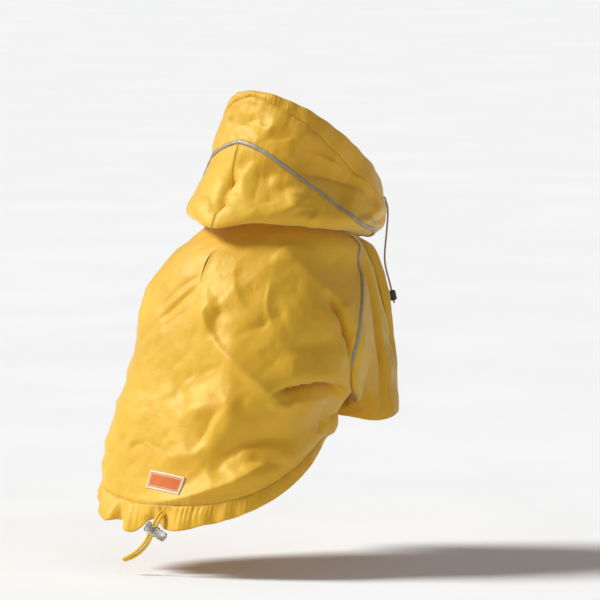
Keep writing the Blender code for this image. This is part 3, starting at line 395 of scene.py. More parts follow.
# How each piece is sewn and cut: its puckered seams as (edge, spacing, depth), its topstitching as (edge,
# distance from it), its wall, its flat width and length and its area, all in mm, and how it is held
TOPSTITCHED = ("left", TOPSTITCH), ("right", TOPSTITCH), ("bottom", TOPSTITCH)
SIDES = ("left", 8.0, 0.35), ("right", 8.0, 0.35), ("bottom", 5.0, 0.5)
SLEEVE = ((("top", 8.0, 0.4),), (("top", TOPSTITCH), ("bottom", CUFF_HEM)), CLOTH, (300, 160), 30000, "hung")
CASING = ((), (("top", TOPSTITCH),), CASING_CLOTH)
ARCH_SEAM = ("bottom", 8.0, 0.4)
HOOD_FRONT_SEAMS = ("top", 8.0, 0.4), ("bottom", 5.0, 0.6)
BESIDE_PIPING = ("bottom", PIPING_WIDTH / 2 + 1.0)
HOOD_BACK = (CLOTH, (210, 105), 15000, "hung")
SEWING = {
    "back_panel": ((*SIDES, ("top", 9.0, 0.3)), TOPSTITCHED, CLOTH, (520, 360), 130000, "hung"),
    "chest_panel": (SIDES, TOPSTITCHED[2:], CLOTH, (200, 240), 32000, "hung"),
    "sleeve_right": SLEEVE,
    "sleeve_left": SLEEVE,
    "hem_casing": (*CASING, (640, 18), 11000, "gathered"),
    "hood_back_right": ((ARCH_SEAM, ("left", 9.0, 0.5)), (TOPSTITCHED[0], BESIDE_PIPING), *HOOD_BACK),
    "hood_back_left": ((ARCH_SEAM, ("right", 9.0, 0.5)), (TOPSTITCHED[1], BESIDE_PIPING), *HOOD_BACK),
    "hood_front": (HOOD_FRONT_SEAMS, TOPSTITCHED[2:], CLOTH, (430, 110), 36000, "hung"),
    "hood_casing": (*CASING, (500, 24), 11000, "gathered"),
}

LABEL_PLACE = (176, 9.03)  # angle, row
LABEL_SIZE = (45.0, 17.5)
LABEL_TILT = 7
LABEL_CLOTH = 1.0
LABEL_BORDER = 1.9
LABEL_SLOPE = 0.5  # width of the slopes of its border, mm
LABEL_EDGE = 0.55  # thickness at its edge, in its cloth's
LABEL_ROUNDS = 12  # of the search for its points on the body
LABEL_SINK = 0.4
LABEL_CELLS = (90, 35)

# Hood drawcord on the wearer's right: forward, side, height
HOOD_CORD = (
    (83.6, 51.2, 22.1), (85.4, 52.7, 20.6), (87.0, 53, 16.5), (89.5, 53, 8), (91, 50, -15),
    (91, 48, -38), (95.5, 48, -54), (100.4, 48, -66.5), (103, 48, -74), (105.6, 48, -81.5),
)
HOOD_CORD_DIAMETER = 1.8

# Two ends of the hem's elastic cord, through the cord lock: forward, side, height
HEM_CORD_A = (
    (-185.3, 6.0, -260.0), (-189.3, 6.4, -261.3), (-192.6, 5.4, -265.5), (-193.4, 3.6, -269.4),
    (-193.4, 0.0, -275.4), (-193.4, -2.8, -280.1), (-194, -7, -287.5), (-196, -14.5, -296),
    (-199.5, -21, -301.5), (-203, -27.3, -305.5),
)
HEM_CORD_B = (
    (-185.8, 10.0, -261.2), (-189.3, 10.0, -262.9), (-192.0, 8.8, -266.8), (-192.6, 6.4, -271.0),
    (-192.6, 2.8, -277.0), (-192.6, -0.1, -281.7), (-192.3, -5.1, -289.8), (-193.9, -13, -298.3),
    (-196.9, -20.7, -303.8), (-200, -28.2, -306.8),
)
HEM_CORD_DIAMETER = 3.0

CAMERA_AZIMUTH = 220.0
CAMERA_ELEVATION = 5.0
LENS = 400.0  # long, as the photo's, mm
SENSOR = 36.0
FRAME_WIDTH = 570.0  # width of the picture at the object, mm
AIM_RIGHT = 14.25  # of the neck's middle, in the picture, mm
AIM_DOWN = 74.1
FLOOR_DROP = 12.0  # below the lowest cord, mm
FLOOR_SIZE = 80.0  # m
# Soft suns: from the picture's right, from the camera, from above, strength, spread in degrees, colour
KEY_SUN = (-1.1, -0.06, 0.92, 3.85, 18, (0.97, 1.0, 0.95))
FILL_SUN = (0.6, 1.0, 0.5, 0.25, 60, (0.95, 0.97, 1.0))
WORLD_COLOUR = (1.0, 0.93, 0.88)
WORLD_STRENGTH = 0.23
NYLON_DEEP = (0.69, 0.345, 0.012)
NYLON_LIGHT = (0.77, 0.43, 0.022)
NYLON_ROUGHNESS = (0.42, 0.55)
NYLON_SETTINGS = {
    "Sheen Weight": 0.5,
    "Sheen Roughness": 0.5,
    "Sheen Tint": (0.9, 1.0, 0.6, 1.0),
    "Specular Tint": (0.95, 1.0, 0.6, 1.0),
    "Subsurface Weight": 0.12,
    "Subsurface Radius": (0.004, 0.002, 0.0006),
    "Subsurface Scale": 1.0,
}
THREAD_YELLOW = (0.80, 0.47, 0.05)
ELASTIC_YELLOW = (0.95, 0.60, 0.01)
TAUPE = (0.34, 0.29, 0.24)
LOCK_BLACK = (0.03, 0.03, 0.03)
LOCK_CLEAR = (0.95, 0.94, 0.92)
PIPING_DEEP = (0.29, 0.245, 0.21)
PIPING_LIGHT = (0.38, 0.33, 0.29)
LABEL_CREAM = (0.74, 0.66, 0.54)
LABEL_ORANGE = (0.62, 0.125, 0.008)
LABEL_LINE = (0.70, 0.52, 0.36)
# Colours of the label from its edge inwards: where each starts, mm
LABEL_BANDS = ((0.0, LABEL_CREAM), (LABEL_BORDER, LABEL_ORANGE), (2.9, LABEL_LINE), (3.4, LABEL_ORANGE))
FLOOR_DEEP = (0.90, 0.895, 0.945)
FLOOR_LIGHT = (0.93, 0.925, 0.975)
WAVE_UNIT = 3.0  # bands of a wave texture in a unit, at scale 1

FOLD_REACH = 5.0  # how far a fold is worked out from its path, in widths
FOLD_STEPS = 6  # between two points of a fold's path
TRACE_STEPS = 400  # along a seam, to space its points evenly
CREASE_ROUND = 0.5  # how round the sharpest crease is, mm
CREASE_DEPTH = 1.45  # of the finer creases, in their tables' depths
FOLD_ENDS = 0.25  # share of a fold's length over which each end fades
SLEEVE_FADE = 12.0  # mm from the armhole over which a sleeve's folds grow
STITCH_SIDES = 6
STITCH_RISE = 0.32
STITCH_SPREAD = 1.2  # width of a stitch, in its height
STITCH_PROFILE = ((-0.5, 0.35), (-0.3, 1.0), (0.3, 1.0), (0.5, 0.35))  # shares of its length and radius
CORD_STEPS = 600  # along a cord, to space its rings evenly
CORD_RING = 0.35  # between the rings of a cord, mm
CORD_SIDES = 16
BRAID_PITCH = 4.0  # diameters
BRAID_STRANDS = 8
BRAID_DEPTH = 0.12
MELTED_END = (0.3, 0.55)  # length of a cord's melted end in its diameter, and its least radius in the cord's
CORD_ASIDE = (1.0, 0.2, 0.1)  # a direction that no cord runs in


def unit(vectors):
    return vectors / np.linalg.norm(vectors, axis=-1, keepdims=True)


def ease(t):
    """0 to 1 with level ends."""
    t = np.clip(t, 0.0, 1.0)
    return t * t * (3.0 - 2.0 * t)


def model_place(forward, side, height):
    return np.stack([-side, -forward, height], -1)


def travel_along(line):
    """Distance along a line at each of its points."""
    return np.insert(np.cumsum(np.linalg.norm(np.diff(line, axis=0), axis=1)), 0, 0.0)


def read_at(at, travel, values):
    """Values given along a line, read at distances along it."""
    return np.stack([np.interp(at, travel, column) for column in values.T], -1)


def spline(rows, at):
    """Natural cubic spline through the rows of a table, read at fractional row numbers."""
    values = np.array(rows, float)
    count = len(values)
    system = np.zeros((count, count))
    bend = np.zeros_like(values)
    system[0, 0] = system[-1, -1] = 1.0
    for i in range(1, count - 1):
        system[i, i - 1 : i + 2] = (1.0, 4.0, 1.0)
        bend[i] = 6.0 * (values[i - 1] - 2.0 * values[i] + values[i + 1])
    bend = np.linalg.solve(system, bend)
    at = np.asarray(at, float)
    low = np.clip(np.floor(at).astype(int), 0, count - 2)
    b = (at - low)[..., None]
    a = 1.0 - b
    curve = (a**3 - a) * bend[low] / 6.0 + (b**3 - b) * bend[low + 1] / 6.0
    return a * values[low] + b * values[low + 1] + curve


def plain(sections, angle, row):
    """Middle surface through a table of sections, each an oval from its back point to its front point."""
    angle, row = np.broadcast_arrays(np.asarray(angle, float), np.asarray(row, float))
    columns = np.moveaxis(spline(sections, row), -1, 0)
    back_f, back_h, front_f, front_h, half_width, boxiness, narrowing, sway = columns
    turn = np.radians(angle)
    along = (np.cos(turn) - boxiness * np.cos(3 * turn)) / (1 - boxiness)
    across = (np.sin(turn) + boxiness * np.sin(3 * turn)) / (1 - boxiness)
    across = across * (1 - narrowing * ((1 + np.cos(turn)) / 2) ** 2)
    forward = (back_f + front_f) / 2 + (front_f - back_f) / 2 * along
    height = (back_h + front_h) / 2 + (front_h - back_h) / 2 * along
    return model_place(forward, sway + half_width * across, height)


def outward(sections, angle, row):
    """Outward normal of the plain surface."""
    round_it = plain(sections, angle + 0.5, row) - plain(sections, angle - 0.5, row)
    down_it = plain(sections, angle, row + 0.02) - plain(sections, angle, row - 0.02)
    side = -1.0 if sections is HOOD else 1.0
    return side * unit(np.cross(round_it, down_it))


def fold_depth(trace, folds, points, normals):
    """Sum of the folds at points of a surface, in mm outward. Trace gives the points of a fold's path."""
    flat, flat_normals = points.reshape(-1, 3), normals.reshape(-1, 3)
    total = np.zeros(len(flat))
    for depth, left_width, right_width, sharpness, path in folds:
        line = trace(*spline(path, np.linspace(0, len(path) - 1, FOLD_STEPS * (len(path) - 1) + 1)).T)
        limit = FOLD_REACH / sharpness * max(left_width, right_width)
        inside = (flat > line.min(0) - limit) & (flat < line.max(0) + limit)
        near = np.flatnonzero(inside.all(-1))
        if not len(near):
            continue
        starts, runs = line[:-1], np.diff(line, axis=0)
        away = flat[near, None, :] - starts
        share = np.clip((away * runs).sum(-1) / (runs**2).sum(-1), 0.0, 1.0)
        gap = away - share[..., None] * runs
        distance = np.linalg.norm(gap, axis=-1)
        nearest = distance.argmin(-1)[..., None]
        reach = np.take_along_axis(distance, nearest, -1)[..., 0]
        along = (nearest + np.take_along_axis(share, nearest, -1))[..., 0] / len(runs)
        side_way = np.cross(flat_normals[near], runs[nearest[..., 0]])
        left = (np.take_along_axis(gap, nearest[..., None], -2)[..., 0, :] * side_way).sum(-1) > 0
        width = np.where(left, left_width, right_width)
        fade = ease(np.minimum(along, 1.0 - along) / FOLD_ENDS)
        rounded = np.sqrt(reach**2 + CREASE_ROUND**2) - CREASE_ROUND
        total[near] += depth * fade * np.exp(-((rounded / width) ** sharpness))
    return total.reshape(points.shape[:-1])


def both_sides(folds, creases):
    """All folds and creases, and again on the wearer's left, a little shallower and lower."""
    rows = folds + tuple((CREASE_DEPTH * depth, *rest) for depth, *rest in creases)
    for depth, left_width, right_width, sharpness, path in rows:
        if all(angle < FAR_SIDE_LIMIT for angle, _ in path):
            mirrored = [(360 - angle, row + FAR_SIDE_SHIFT) for angle, row in path]
            rows += ((FAR_SIDE * depth, right_width, left_width, sharpness, mirrored),)
    return rows


def lattice_height(corners, seed):
    """A height from 0 to 1 for each corner of a lattice, the same each time."""
    mixed = np.sin(corners @ np.array([12.9898, 78.233, 37.719]) + seed) * 43758.5453
    return mixed - np.floor(mixed)


def facets(places, seed):
    """Flat facets that meet in creases: heights from 0 to 1, even over each tetrahedron of a lattice."""
    bend, turns = FACET_BEND
    places = places + bend * np.sin(turns * places[:, (1, 2, 0)] + seed)
    skewed = places + places.sum(-1, keepdims=True) / 3
    corner = np.floor(skewed)
    part = skewed - corner
    order = np.argsort(-part, axis=-1)
    sorted_part = np.take_along_axis(part, order, -1)
    total = (1 - sorted_part[:, 0]) * lattice_height(corner, seed)
    for step in range(3):
        corner = corner + np.eye(3)[order[:, step]]
        lower = sorted_part[:, step + 1] if step < 2 else 0.0
        total += (sorted_part[:, step] - lower) * lattice_height(corner, seed)
    return total


def crinkle(points):
    """Creased facets of crisp cloth at points in mm, at several sizes."""
    flat = points.reshape(-1, 3)
    total = sum(depth * (facets(flat / size, seed) - 0.5) for size, depth, seed in CRINKLES)
    return total.reshape(points.shape[:-1])


def folded(sections, folds, fold_fade, crinkle_fade, angle, row):
    """Middle surface with its folds, creases and crinkles, which fade to the neck seam."""
    points = plain(sections, angle, row)
    normals = outward(sections, angle, row)
    depth = fold_depth(lambda *place: plain(sections, *place), folds, points, normals) * fold_fade
    return points + normals * (depth + crinkle(points) * crinkle_fade)[..., None]


def lip(past, share, reach):
    """How much a point belongs to a lip: by its way past the lip's edge and its share along the edge."""
    across = np.exp(-((past / np.where(past < 0, *reach)) ** 2))
    return np.sin(np.pi * np.clip(share, 0, 1)) ** LIP_ENDS * across


def lips(angle, row):
    """Shift of the cloth that folds over itself above each thigh pocket and behind each armhole."""
    angle, row = np.broadcast_arrays(angle, row)
    side = 180 - np.abs(angle - 180)
    strength = np.where(angle > 180, FAR_SIDE, 1.0)
    places, rows = np.array(POCKET_LIP, float)[::-1].T
    share = (side - places[0]) / (places[-1] - places[0])
    hang = strength * lip(row - np.interp(side, places, rows), share, POCKET_LIP_REACH)
    places, rows = np.array(ARMHOLE_LIP, float).T
    share = (row - rows[0]) / (rows[-1] - rows[0])
    roll = strength * lip(np.interp(row, rows, places) - side, share, ARMHOLE_LIP_REACH)
    out = np.where(angle > 180, 1.0, -1.0) * (POCKET_LIP_SHIFT[0] * hang + ARMHOLE_LIP_SHIFT[0] * roll)
    return np.stack([out, -ARMHOLE_LIP_SHIFT[1] * roll, -POCKET_LIP_SHIFT[1] * hang], -1)


def body(angle, row):
    """Middle surface of the body."""
    return folded(BODY, ALL_BODY_FOLDS, ease(row / BODY_FADE), 1.0, angle, row) + lips(angle, row)


def hood(angle, row):
    """Middle surface of the hood. Its corner droops behind, and its lower edge is drawn to the neck seam."""
    points = folded(HOOD, ALL_HOOD_FOLDS, ease(row / HOOD_FADE[0]), ease(row / HOOD_FADE[1]), angle, row)
    (middle_angle, half_angle), (middle_row, half_row), shift = HOOD_CORNER
    corner = np.exp(-(((angle - middle_angle) / half_angle) ** 2) - ((row - middle_row) / half_row) ** 2)
    neck = plain(BODY, angle, 0 * row)
    neck = neck + outward(BODY, angle, 0 * row) * (crinkle(neck) - SEAM_VALLEY[0])[..., None]
    sewn = (neck - plain(HOOD, angle, 0 * row)) * (1 - ease(row / NECK_REACH))[..., None]
    return points + corner[..., None] * np.array(shift) + sewn


def even_steps(table, cells, sections, start=0, end=None):
    """Places along a table of (angle, row), evenly spaced on the surface, from one row of it to another."""
    fine = spline(table, np.linspace(start, len(table) - 1 if end is None else end, TRACE_STEPS))
    travel = travel_along(plain(sections, fine[:, 0], fine[:, 1]))
    return read_at(np.linspace(0, travel[-1], cells + 1), travel, fine)


ALL_BODY_FOLDS = both_sides(BODY_FOLDS, BODY_CREASES)
ALL_HOOD_FOLDS = both_sides(HOOD_FOLDS, HOOD_CREASES)
ARM_BACK = even_steps(ARMHOLE, ARM_BACK_CELLS, BODY, 0, UNDERARM)
ARM_FRONT = even_steps(ARMHOLE, ARM_FRONT_CELLS, BODY, UNDERARM)
SIDE_EDGE = even_steps(SIDE_SEAM, SIDE_CELLS, BODY)
ARCH_RIGHT = even_steps(HOOD_SEAM, HOOD_ARCH_CELLS, HOOD)
ARCH_LEFT = ARCH_RIGHT[::-1] * (-1, 1) + (360, 0)


def half_panel(arm_edge, centre, cells):
    """Angles and rows from a panel's right seam to its middle: rows of the grid run across it."""
    edge = np.concatenate([arm_edge[:, :2], SIDE_EDGE[1:]])
    upper = even_steps(((centre, 0.0), (centre, MIDDLE_ROW)), len(arm_edge) - 1, BODY)
    lower = even_steps(((centre, MIDDLE_ROW), (centre, CASING_ROW)), SIDE_CELLS, BODY)
    middle = np.concatenate([upper, lower[1:]])[:, 1:]
    share = np.linspace(0, 1, cells + 1)
    angles = edge[:, :1] + (centre - edge[:, :1]) * share
    rows = edge[:, 1:] + (middle - edge[:, 1:]) * share * (2 - share)
    return angles, rows


def back_grid():
    """Angles and rows of the back panel, from the right seam to the left one."""
    angles, rows = half_panel(ARM_BACK, 180, BACK_HALF_CELLS)
    return np.concatenate([angles, 360 - angles[:, ::-1]], 1), np.concatenate([rows, rows[:, ::-1]], 1)


def chest_grid():
    """Angles and rows of the chest panel, from the left seam to the right one."""
    angles, rows = half_panel(ARM_FRONT[::-1], 0, CHEST_HALF_CELLS)
    return np.concatenate([-angles, angles[:, -2::-1]], 1), np.concatenate([rows, rows[:, -2::-1]], 1)


def sleeve_grid(side):
    """Points of the right (1) or left (-1) sleeve, from armhole to cuff, and each column's turn there."""
    neck = np.linspace(0, 1, ARM_NECK_CELLS + 1)[1:-1, None]
    last, first = np.array(ARMHOLE[-1], float), np.array(ARMHOLE[0], float) + (0, 0, 360, 0, 0)
    loop = np.concatenate([ARM_BACK, ARM_FRONT[1:], last + (first - last) * neck])
    angle, row, turn, lean, pull = loop.T
    angle = (side * angle) % 360
    start = body(angle, row)
    normals = outward(BODY, angle, row)
    into = side * unit(np.cross(normals, np.roll(start, -1, 0) - np.roll(start, 1, 0)))
    down = unit(plain(BODY, angle, row + 0.05) - plain(BODY, angle, row))
    lean = np.radians(np.clip(lean, 0, 90))[:, None]
    flow = unit(into + DOWN_FLOW * np.cos(lean) * down)
    leave = np.cos(lean) * flow + np.sin(lean) * normals
    round_cuff = np.radians(turn)
    rise, highest = CUFF_RISE
    cuff = model_place(
        CUFF_FORWARD + CUFF_RADIUS * np.cos(round_cuff),
        side * (CUFF_SIDE + CUFF_RADIUS * np.sin(round_cuff)),
        CUFF_HEIGHT + rise * np.cos(2 * (round_cuff - np.radians(highest))),
    )
    reach = np.linalg.norm(cuff - start, axis=1, keepdims=True)
    t = np.linspace(0, 1, SLEEVE_CELLS + 1)[:, None, None]
    start_pull = np.minimum(pull[:, None], START_PULL_LIMIT * reach) * leave
    end_pull = CUFF_PULL * reach * np.array([0.0, 0.0, -1.0])
    from_start = (2 * t**3 - 3 * t**2 + 1) * start + (t**3 - 2 * t**2 + t) * start_pull
    to_end = (3 * t**2 - 2 * t**3) * cuff + (t**3 - t**2) * end_pull
    return from_start + to_end, turn


def on_grid(points, row, column):
    """Points between the points of a grid, at fractional rows and columns."""
    top = np.clip(np.floor(row).astype(int), 0, points.shape[0] - 2)
    left = np.clip(np.floor(column).astype(int), 0, points.shape[1] - 2)
    down, across = (row - top)[..., None], (column - left)[..., None]
    upper = points[top, left] * (1 - across) + points[top, left + 1] * across
    lower = points[top + 1, left] * (1 - across) + points[top + 1, left + 1] * across
    return upper * (1 - down) + lower * down


def creased_sleeve(side):
    """Points of a sleeve with its folds and crinkles, closed round, and their outward normals."""
    points, turns = sleeve_grid(side)
    points = np.concatenate([points, points[:, :1]], 1)
    normals = facing(points)
    turns = np.append(turns, turns[0] + 360)

    def on_sleeve(turn, share):
        column = np.interp(turn + 360 * (turn < turns[0]), turns, np.arange(len(turns)))
        return on_grid(points, share * SLEEVE_CELLS, column)

    folds = SLEEVE_FOLDS
    if side < 0:
        folds = [(depth, right, left, sharpness, path) for depth, left, right, sharpness, path in folds]
    depth = fold_depth(on_sleeve, folds, points, normals) + crinkle(points)
    depth = depth * ease(edge_distance(points, "top") / SLEEVE_FADE)
    depth[:, -1] = depth[:, 0]
    return points + normals * depth[..., None], normals


def from_front(angle):
    """Angle from the front, on either side."""
    return np.abs((angle + 180) % 360 - 180)


def brim_row(angle):
    """Row of the face casing's seam at an angle."""
    return np.interp(from_front(angle), *np.array(BRIM_SEAM, float).T)


def gathers_at(angle, count):
    """Uneven gathers round an edge, from -1 to 1."""
    turn = np.radians(angle)
    phase = count * turn + 1.3 * np.sin(3 * turn) + 0.7 * np.sin(7 * turn + 1)
    return (0.7 + 0.3 * np.cos(2 * turn)) * np.cos(phase)


def pleats_at(angle, count):
    """Uneven narrow pleats round an edge, from about -1 to 1."""
    turn = np.radians(angle)
    phase = count * turn + 4.0 * np.sin(5 * turn) + 2.4 * np.sin(13 * turn + 2) + 1.7 * np.sin(31 * turn)
    strength = 0.5 + 0.3 * np.sin(19 * turn + 2 * np.sin(6 * turn)) + 0.3 * np.cos(43 * turn + 1)
    return strength * np.cos(phase)


def gathered_band(surface, sections, rows, cells, gathers, pleats, lobes, seam):
    """Grid of a casing band, with gathers that deepen to its free edge.

    Rows are the seam's and the free edge's. The seam is the angles and points of the edge it is sewn to.
    """
    angle = np.linspace(0, 360, cells[0] + 1)[None, :]
    share = np.linspace(0, 1, cells[1] + 1)[:, None]
    start_row = rows[0](angle)
    angle, row = np.broadcast_arrays(angle, start_row + (rows[1] - start_row) * share)
    points = surface(angle, row)
    normals = outward(sections, angle, row)
    count, at_seam, at_edge = gathers
    depth = gathers_at(angle, count) * (at_seam + (at_edge - at_seam) * share)
    count, at_seam, at_edge, least, strongest, half_width = pleats
    strength = least + (1 - least) * np.exp(-(((from_front(angle) - strongest) / half_width) ** 2))
    depth = depth + strength * pleats_at(angle, count) * (at_seam + (at_edge - at_seam) * share)
    depth = depth * ease(share / SEAM_SHARE) + CASING_PUFF * np.sin(np.pi * share)
    down = unit(plain(sections, angle, row) - plain(sections, angle, row - 0.1))
    for lobe_angle, drop, flare, half_width in lobes:
        near = np.exp(-(((angle - lobe_angle) / half_width) ** 2)) * share
        points = points + down * (drop * near)[..., None]
        depth = depth + flare * near
    points = points + normals * depth[..., None]
    points[0] = read_at(angle[0], *seam)
    return points


def hem_seam():
    """Angles and points of the lower edges of the chest and back panels, from 0 to 360."""
    chest_angle, chest_row = (values[-1] for values in chest_grid())
    back_angle, back_row = (values[-1] for values in back_grid())
    front = CHEST_HALF_CELLS
    angle = np.concatenate([chest_angle[front:], back_angle[1:-1], 360 + chest_angle[: front + 1]])
    row = np.concatenate([chest_row[front:], back_row[1:-1], chest_row[: front + 1]])
    return angle, body(angle % 360, row) - SEAM_VALLEY[0] * outward(BODY, angle % 360, row)


def brim_seam(angle, points):
    """Angles and points of the hood front's upper edge, from 0 to 360."""
    order = np.argsort(angle[:-1] % 360)
    angle, points = (angle[:-1] % 360)[order], points[:-1][order]
    angle = np.concatenate([angle[-1:] - 360, angle, angle[:1] + 360])
    return angle, np.concatenate([points[-1:], points, points[:1]])


def hood_back_grid(edge):
    """Points of a lower back piece of the hood, from the neck seam to the arched seam."""
    share = np.linspace(0, 1, HOOD_BACK_CELLS + 1)[:, None]
    return hood(edge[None, :, 0] + 0 * share, edge[None, :, 1] * share)


def hood_front_grid():
    """Points of the hood's front piece, from arched seam and throat to brim, and its angles at the brim."""
    throat_end = ARCH_RIGHT[-1, 0] - THROAT_STEP
    throat = np.linspace(throat_end, -throat_end, HOOD_THROAT_CELLS + 1)
    low_edge = np.concatenate([ARCH_RIGHT, np.stack([throat, 0 * throat], -1), ARCH_LEFT - (360, 0)])
    brim = even_steps(((180, BRIM_MIDDLE), (-180, BRIM_MIDDLE)), len(low_edge) - 1, HOOD)
    brim[:, 1] = brim_row(brim[:, 0])
    share = np.linspace(0, 1, HOOD_FRONT_CELLS + 1)[:, None, None]
    places = low_edge + (brim - low_edge) * share
    return hood(places[..., 0] % 360, places[..., 1]), brim[:, 0]


def facing(points, outside=None):
    """Outward normals of a grid of points, on the side of a direction or away from its middle row's mean."""
    normals = unit(np.cross(np.gradient(points, axis=0), np.gradient(points, axis=1)))
    row, column = points.shape[0] // 2, points.shape[1] // 2
    if outside is None:
        outside = points[row, column] - points[row].mean(0)
    return normals * (1.0 if normals[row, column] @ outside > 0 else -1.0)


def edge_distance(points, edge):
    """Distance in mm of each grid point from an edge, along the grid's lines."""
    axis = 0 if edge in ("top", "bottom") else 1
    steps = np.linalg.norm(np.diff(points, axis=axis), axis=-1)
    run = np.cumsum(np.insert(steps, 0, 0.0, axis=axis), axis=axis)
    if edge in ("bottom", "right"):
        run = run.take([-1], axis=axis) - run
    return run


def ripple(travel, spacing, phase=0.7):
    """Uneven ripples, from -1 to 1."""
    turn = 2 * np.pi * travel / spacing + phase
    coarse = np.sin(0.61 * turn + 2.3 * np.sin(0.11 * turn))
    return 0.6 * np.sin(turn + 1.7 * np.sin(0.23 * turn + 1)) + 0.4 * coarse


def at_seams(points, normals, seams):
    """Draw a grid's edges into their seams, puffed and puckered beside them."""
    valley, half_width = SEAM_VALLEY
    height, where, width = SEAM_PUFF
    depth = np.zeros(points.shape[:-1])
    for edge, spacing, pucker in seams:
        distance = edge_distance(points, edge)
        lines = {"top": points[0], "bottom": points[-1], "left": points[:, 0], "right": points[:, -1]}
        travel = travel_along(lines[edge])
        travel = travel if edge in ("top", "bottom") else travel[:, None]
        depth -= valley * np.exp(-((distance / half_width) ** 2))
        depth += height * np.exp(-(((distance - where) / width) ** 2))
        rise = np.exp(-distance / PUCKER_REACH) * (1 - np.exp(-distance / half_width))
        depth += pucker * rise * ripple(travel, spacing)
    return points + normals * depth[..., None]


def part_slit(points, normals, levels):
    """Part the back along the slit, one lip over the other. Levels are the middle column's body rows.

    Returns the points and the cut: the middle column and its first and last open row.
    """
    low, high = SLIT_ROWS
    middle = BACK_HALF_CELLS
    share = np.clip((levels - low) / (high - low), 0, 1)
    part = (np.sin(np.pi * share) ** SLIT_ENDS)[:, None] * (share > 0)[:, None]
    away = edge_distance(points, "left")
    near = np.exp(-np.abs(away - away[:, middle : middle + 1]) / SLIT_REACH) * part
    right_lip = np.arange(points.shape[1]) <= middle
    across = unit(points[:, middle - TACK_HALF] - points[:, middle + TACK_HALF + 1])[:, None, :]
    moved = points + across * (np.where(right_lip, 1.0, -1.0) * near * SLIT_GAP / 2)[..., None]
    open_rows = np.flatnonzero((levels > low) & (levels < high))
    moved = moved + normals * (near * np.where(right_lip, *SLIT_LIPS))[..., None]
    return moved, (middle, open_rows[0], open_rows[-1])


def line_beside(points, normals, edge, distance):
    """Places and normals of the line that runs at a distance from a grid's edge."""
    run, both = edge_distance(points, edge), np.concatenate([points, normals], -1)
    if edge in ("left", "right"):
        run, both = run.T, both.swapaxes(0, 1)
    if edge in ("bottom", "right"):
        run, both = run[::-1], both[::-1]
    line = np.array([read_at(distance, run[:, k], both[:, k]) for k in range(run.shape[1])])
    return line[:, :3], unit(line[:, 3:])


def add_object(name, data):
    made = bpy.data.objects.new(name, data)
    bpy.context.scene.collection.objects.link(made)
    return made


def mesh_piece(name, vertices, faces, look, uv=None):
    """A mesh object that rides with the coat. Vertices are in mm."""
    mesh = bpy.data.meshes.new(name)
    mesh.from_pydata((np.asarray(vertices) * MM).tolist(), [], faces)
    if uv is not None:
        layer = mesh.uv_layers.new(name="cloth")
        corners = np.array([loop.vertex_index for loop in mesh.loops])
        layer.data.foreach_set("uv", (uv[corners] * MM).ravel())
    mesh.materials.append(look)
    mesh.shade_smooth()
    piece = add_object(name, mesh)
    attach(piece, "root")
    return piece


def edit_mesh(piece, edit):
    """Change a piece's mesh by a function of its bmesh."""
    shape = bmesh.new()
    shape.from_mesh(piece.data)
    edit(shape)
    shape.to_mesh(piece.data)
    shape.free()


def outside_out(shape):
    """Make a closed mesh's faces point outward."""
    bmesh.ops.recalc_face_normals(shape, faces=shape.faces)


def drop_loose(shape):
    """Delete the points that no face uses."""
    bmesh.ops.delete(shape, geom=[v for v in shape.verts if not v.link_faces], context="VERTS")


def grid_faces(rows, columns, closed=False):
    """Quads of a grid, closed round its columns or not."""
    upper = np.arange(rows - 1)[:, None] * columns
    lower = upper + columns
    column = np.arange(columns if closed else columns - 1)
    after = (column + 1) % columns
    return np.stack([upper + column, upper + after, lower + after, lower + column], -1).reshape(-1, 4)


def cloth(node, points, look, thickness, closed, cut):
    """A cloth piece from a grid of points. Cut is the column and the first and last row left open."""
    if closed:
        points = points[:, :-1]
    rows, columns = points.shape[:2]
    uv = np.stack([edge_distance(points, "left"), edge_distance(points, "top")], -1).reshape(-1, 2)
    faces = grid_faces(rows, columns, closed)
    if cut is not None:
        column, first, last = cut
        shut = np.r_[0:first, last + 1 : rows] * columns + column
        merged = np.arange(rows * columns)
        merged[shut + 1] = shut
        inside = faces[:, 0] % columns == column
        faces = merged[faces[~inside]]
    piece = mesh_piece("cloth_" + node, points.reshape(-1, 3), faces.tolist(), look, uv)
    if cut is not None:
        edit_mesh(piece, drop_loose)
    wall = piece.modifiers.new("Wall", "SOLIDIFY")
    wall.thickness = thickness * MM
    wall.offset = 0.0
    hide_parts(node)
    return piece


def sew(node, points, normals, look, closed=False, slit_levels=None):
    """Make a cloth piece with the seams, topstitching and wall that its row of the sewing table gives.
    Returns its points and lines of stitches.
    """
    seams, topstitching, thickness, flat, area, held = SEWING[node]
    points = at_seams(points, normals, seams)
    cut = None
    if slit_levels is not None:
        points, cut = part_slit(points, normals, slit_levels)
    if closed:
        points[:, -1] = points[:, 0]
    piece = cloth(node, points, look, thickness, closed, cut)
    lines = [line_beside(points, normals, edge, distance) for edge, distance in topstitching]
    if cut is not None:
        column, first, last = cut
        tack = slice(column - TACK_HALF, column + TACK_HALF + 1)
        lines += [(points[row, tack], normals[row, tack]) for row in (first - 1, first, last + 1, last + 2)]
    return points, lines


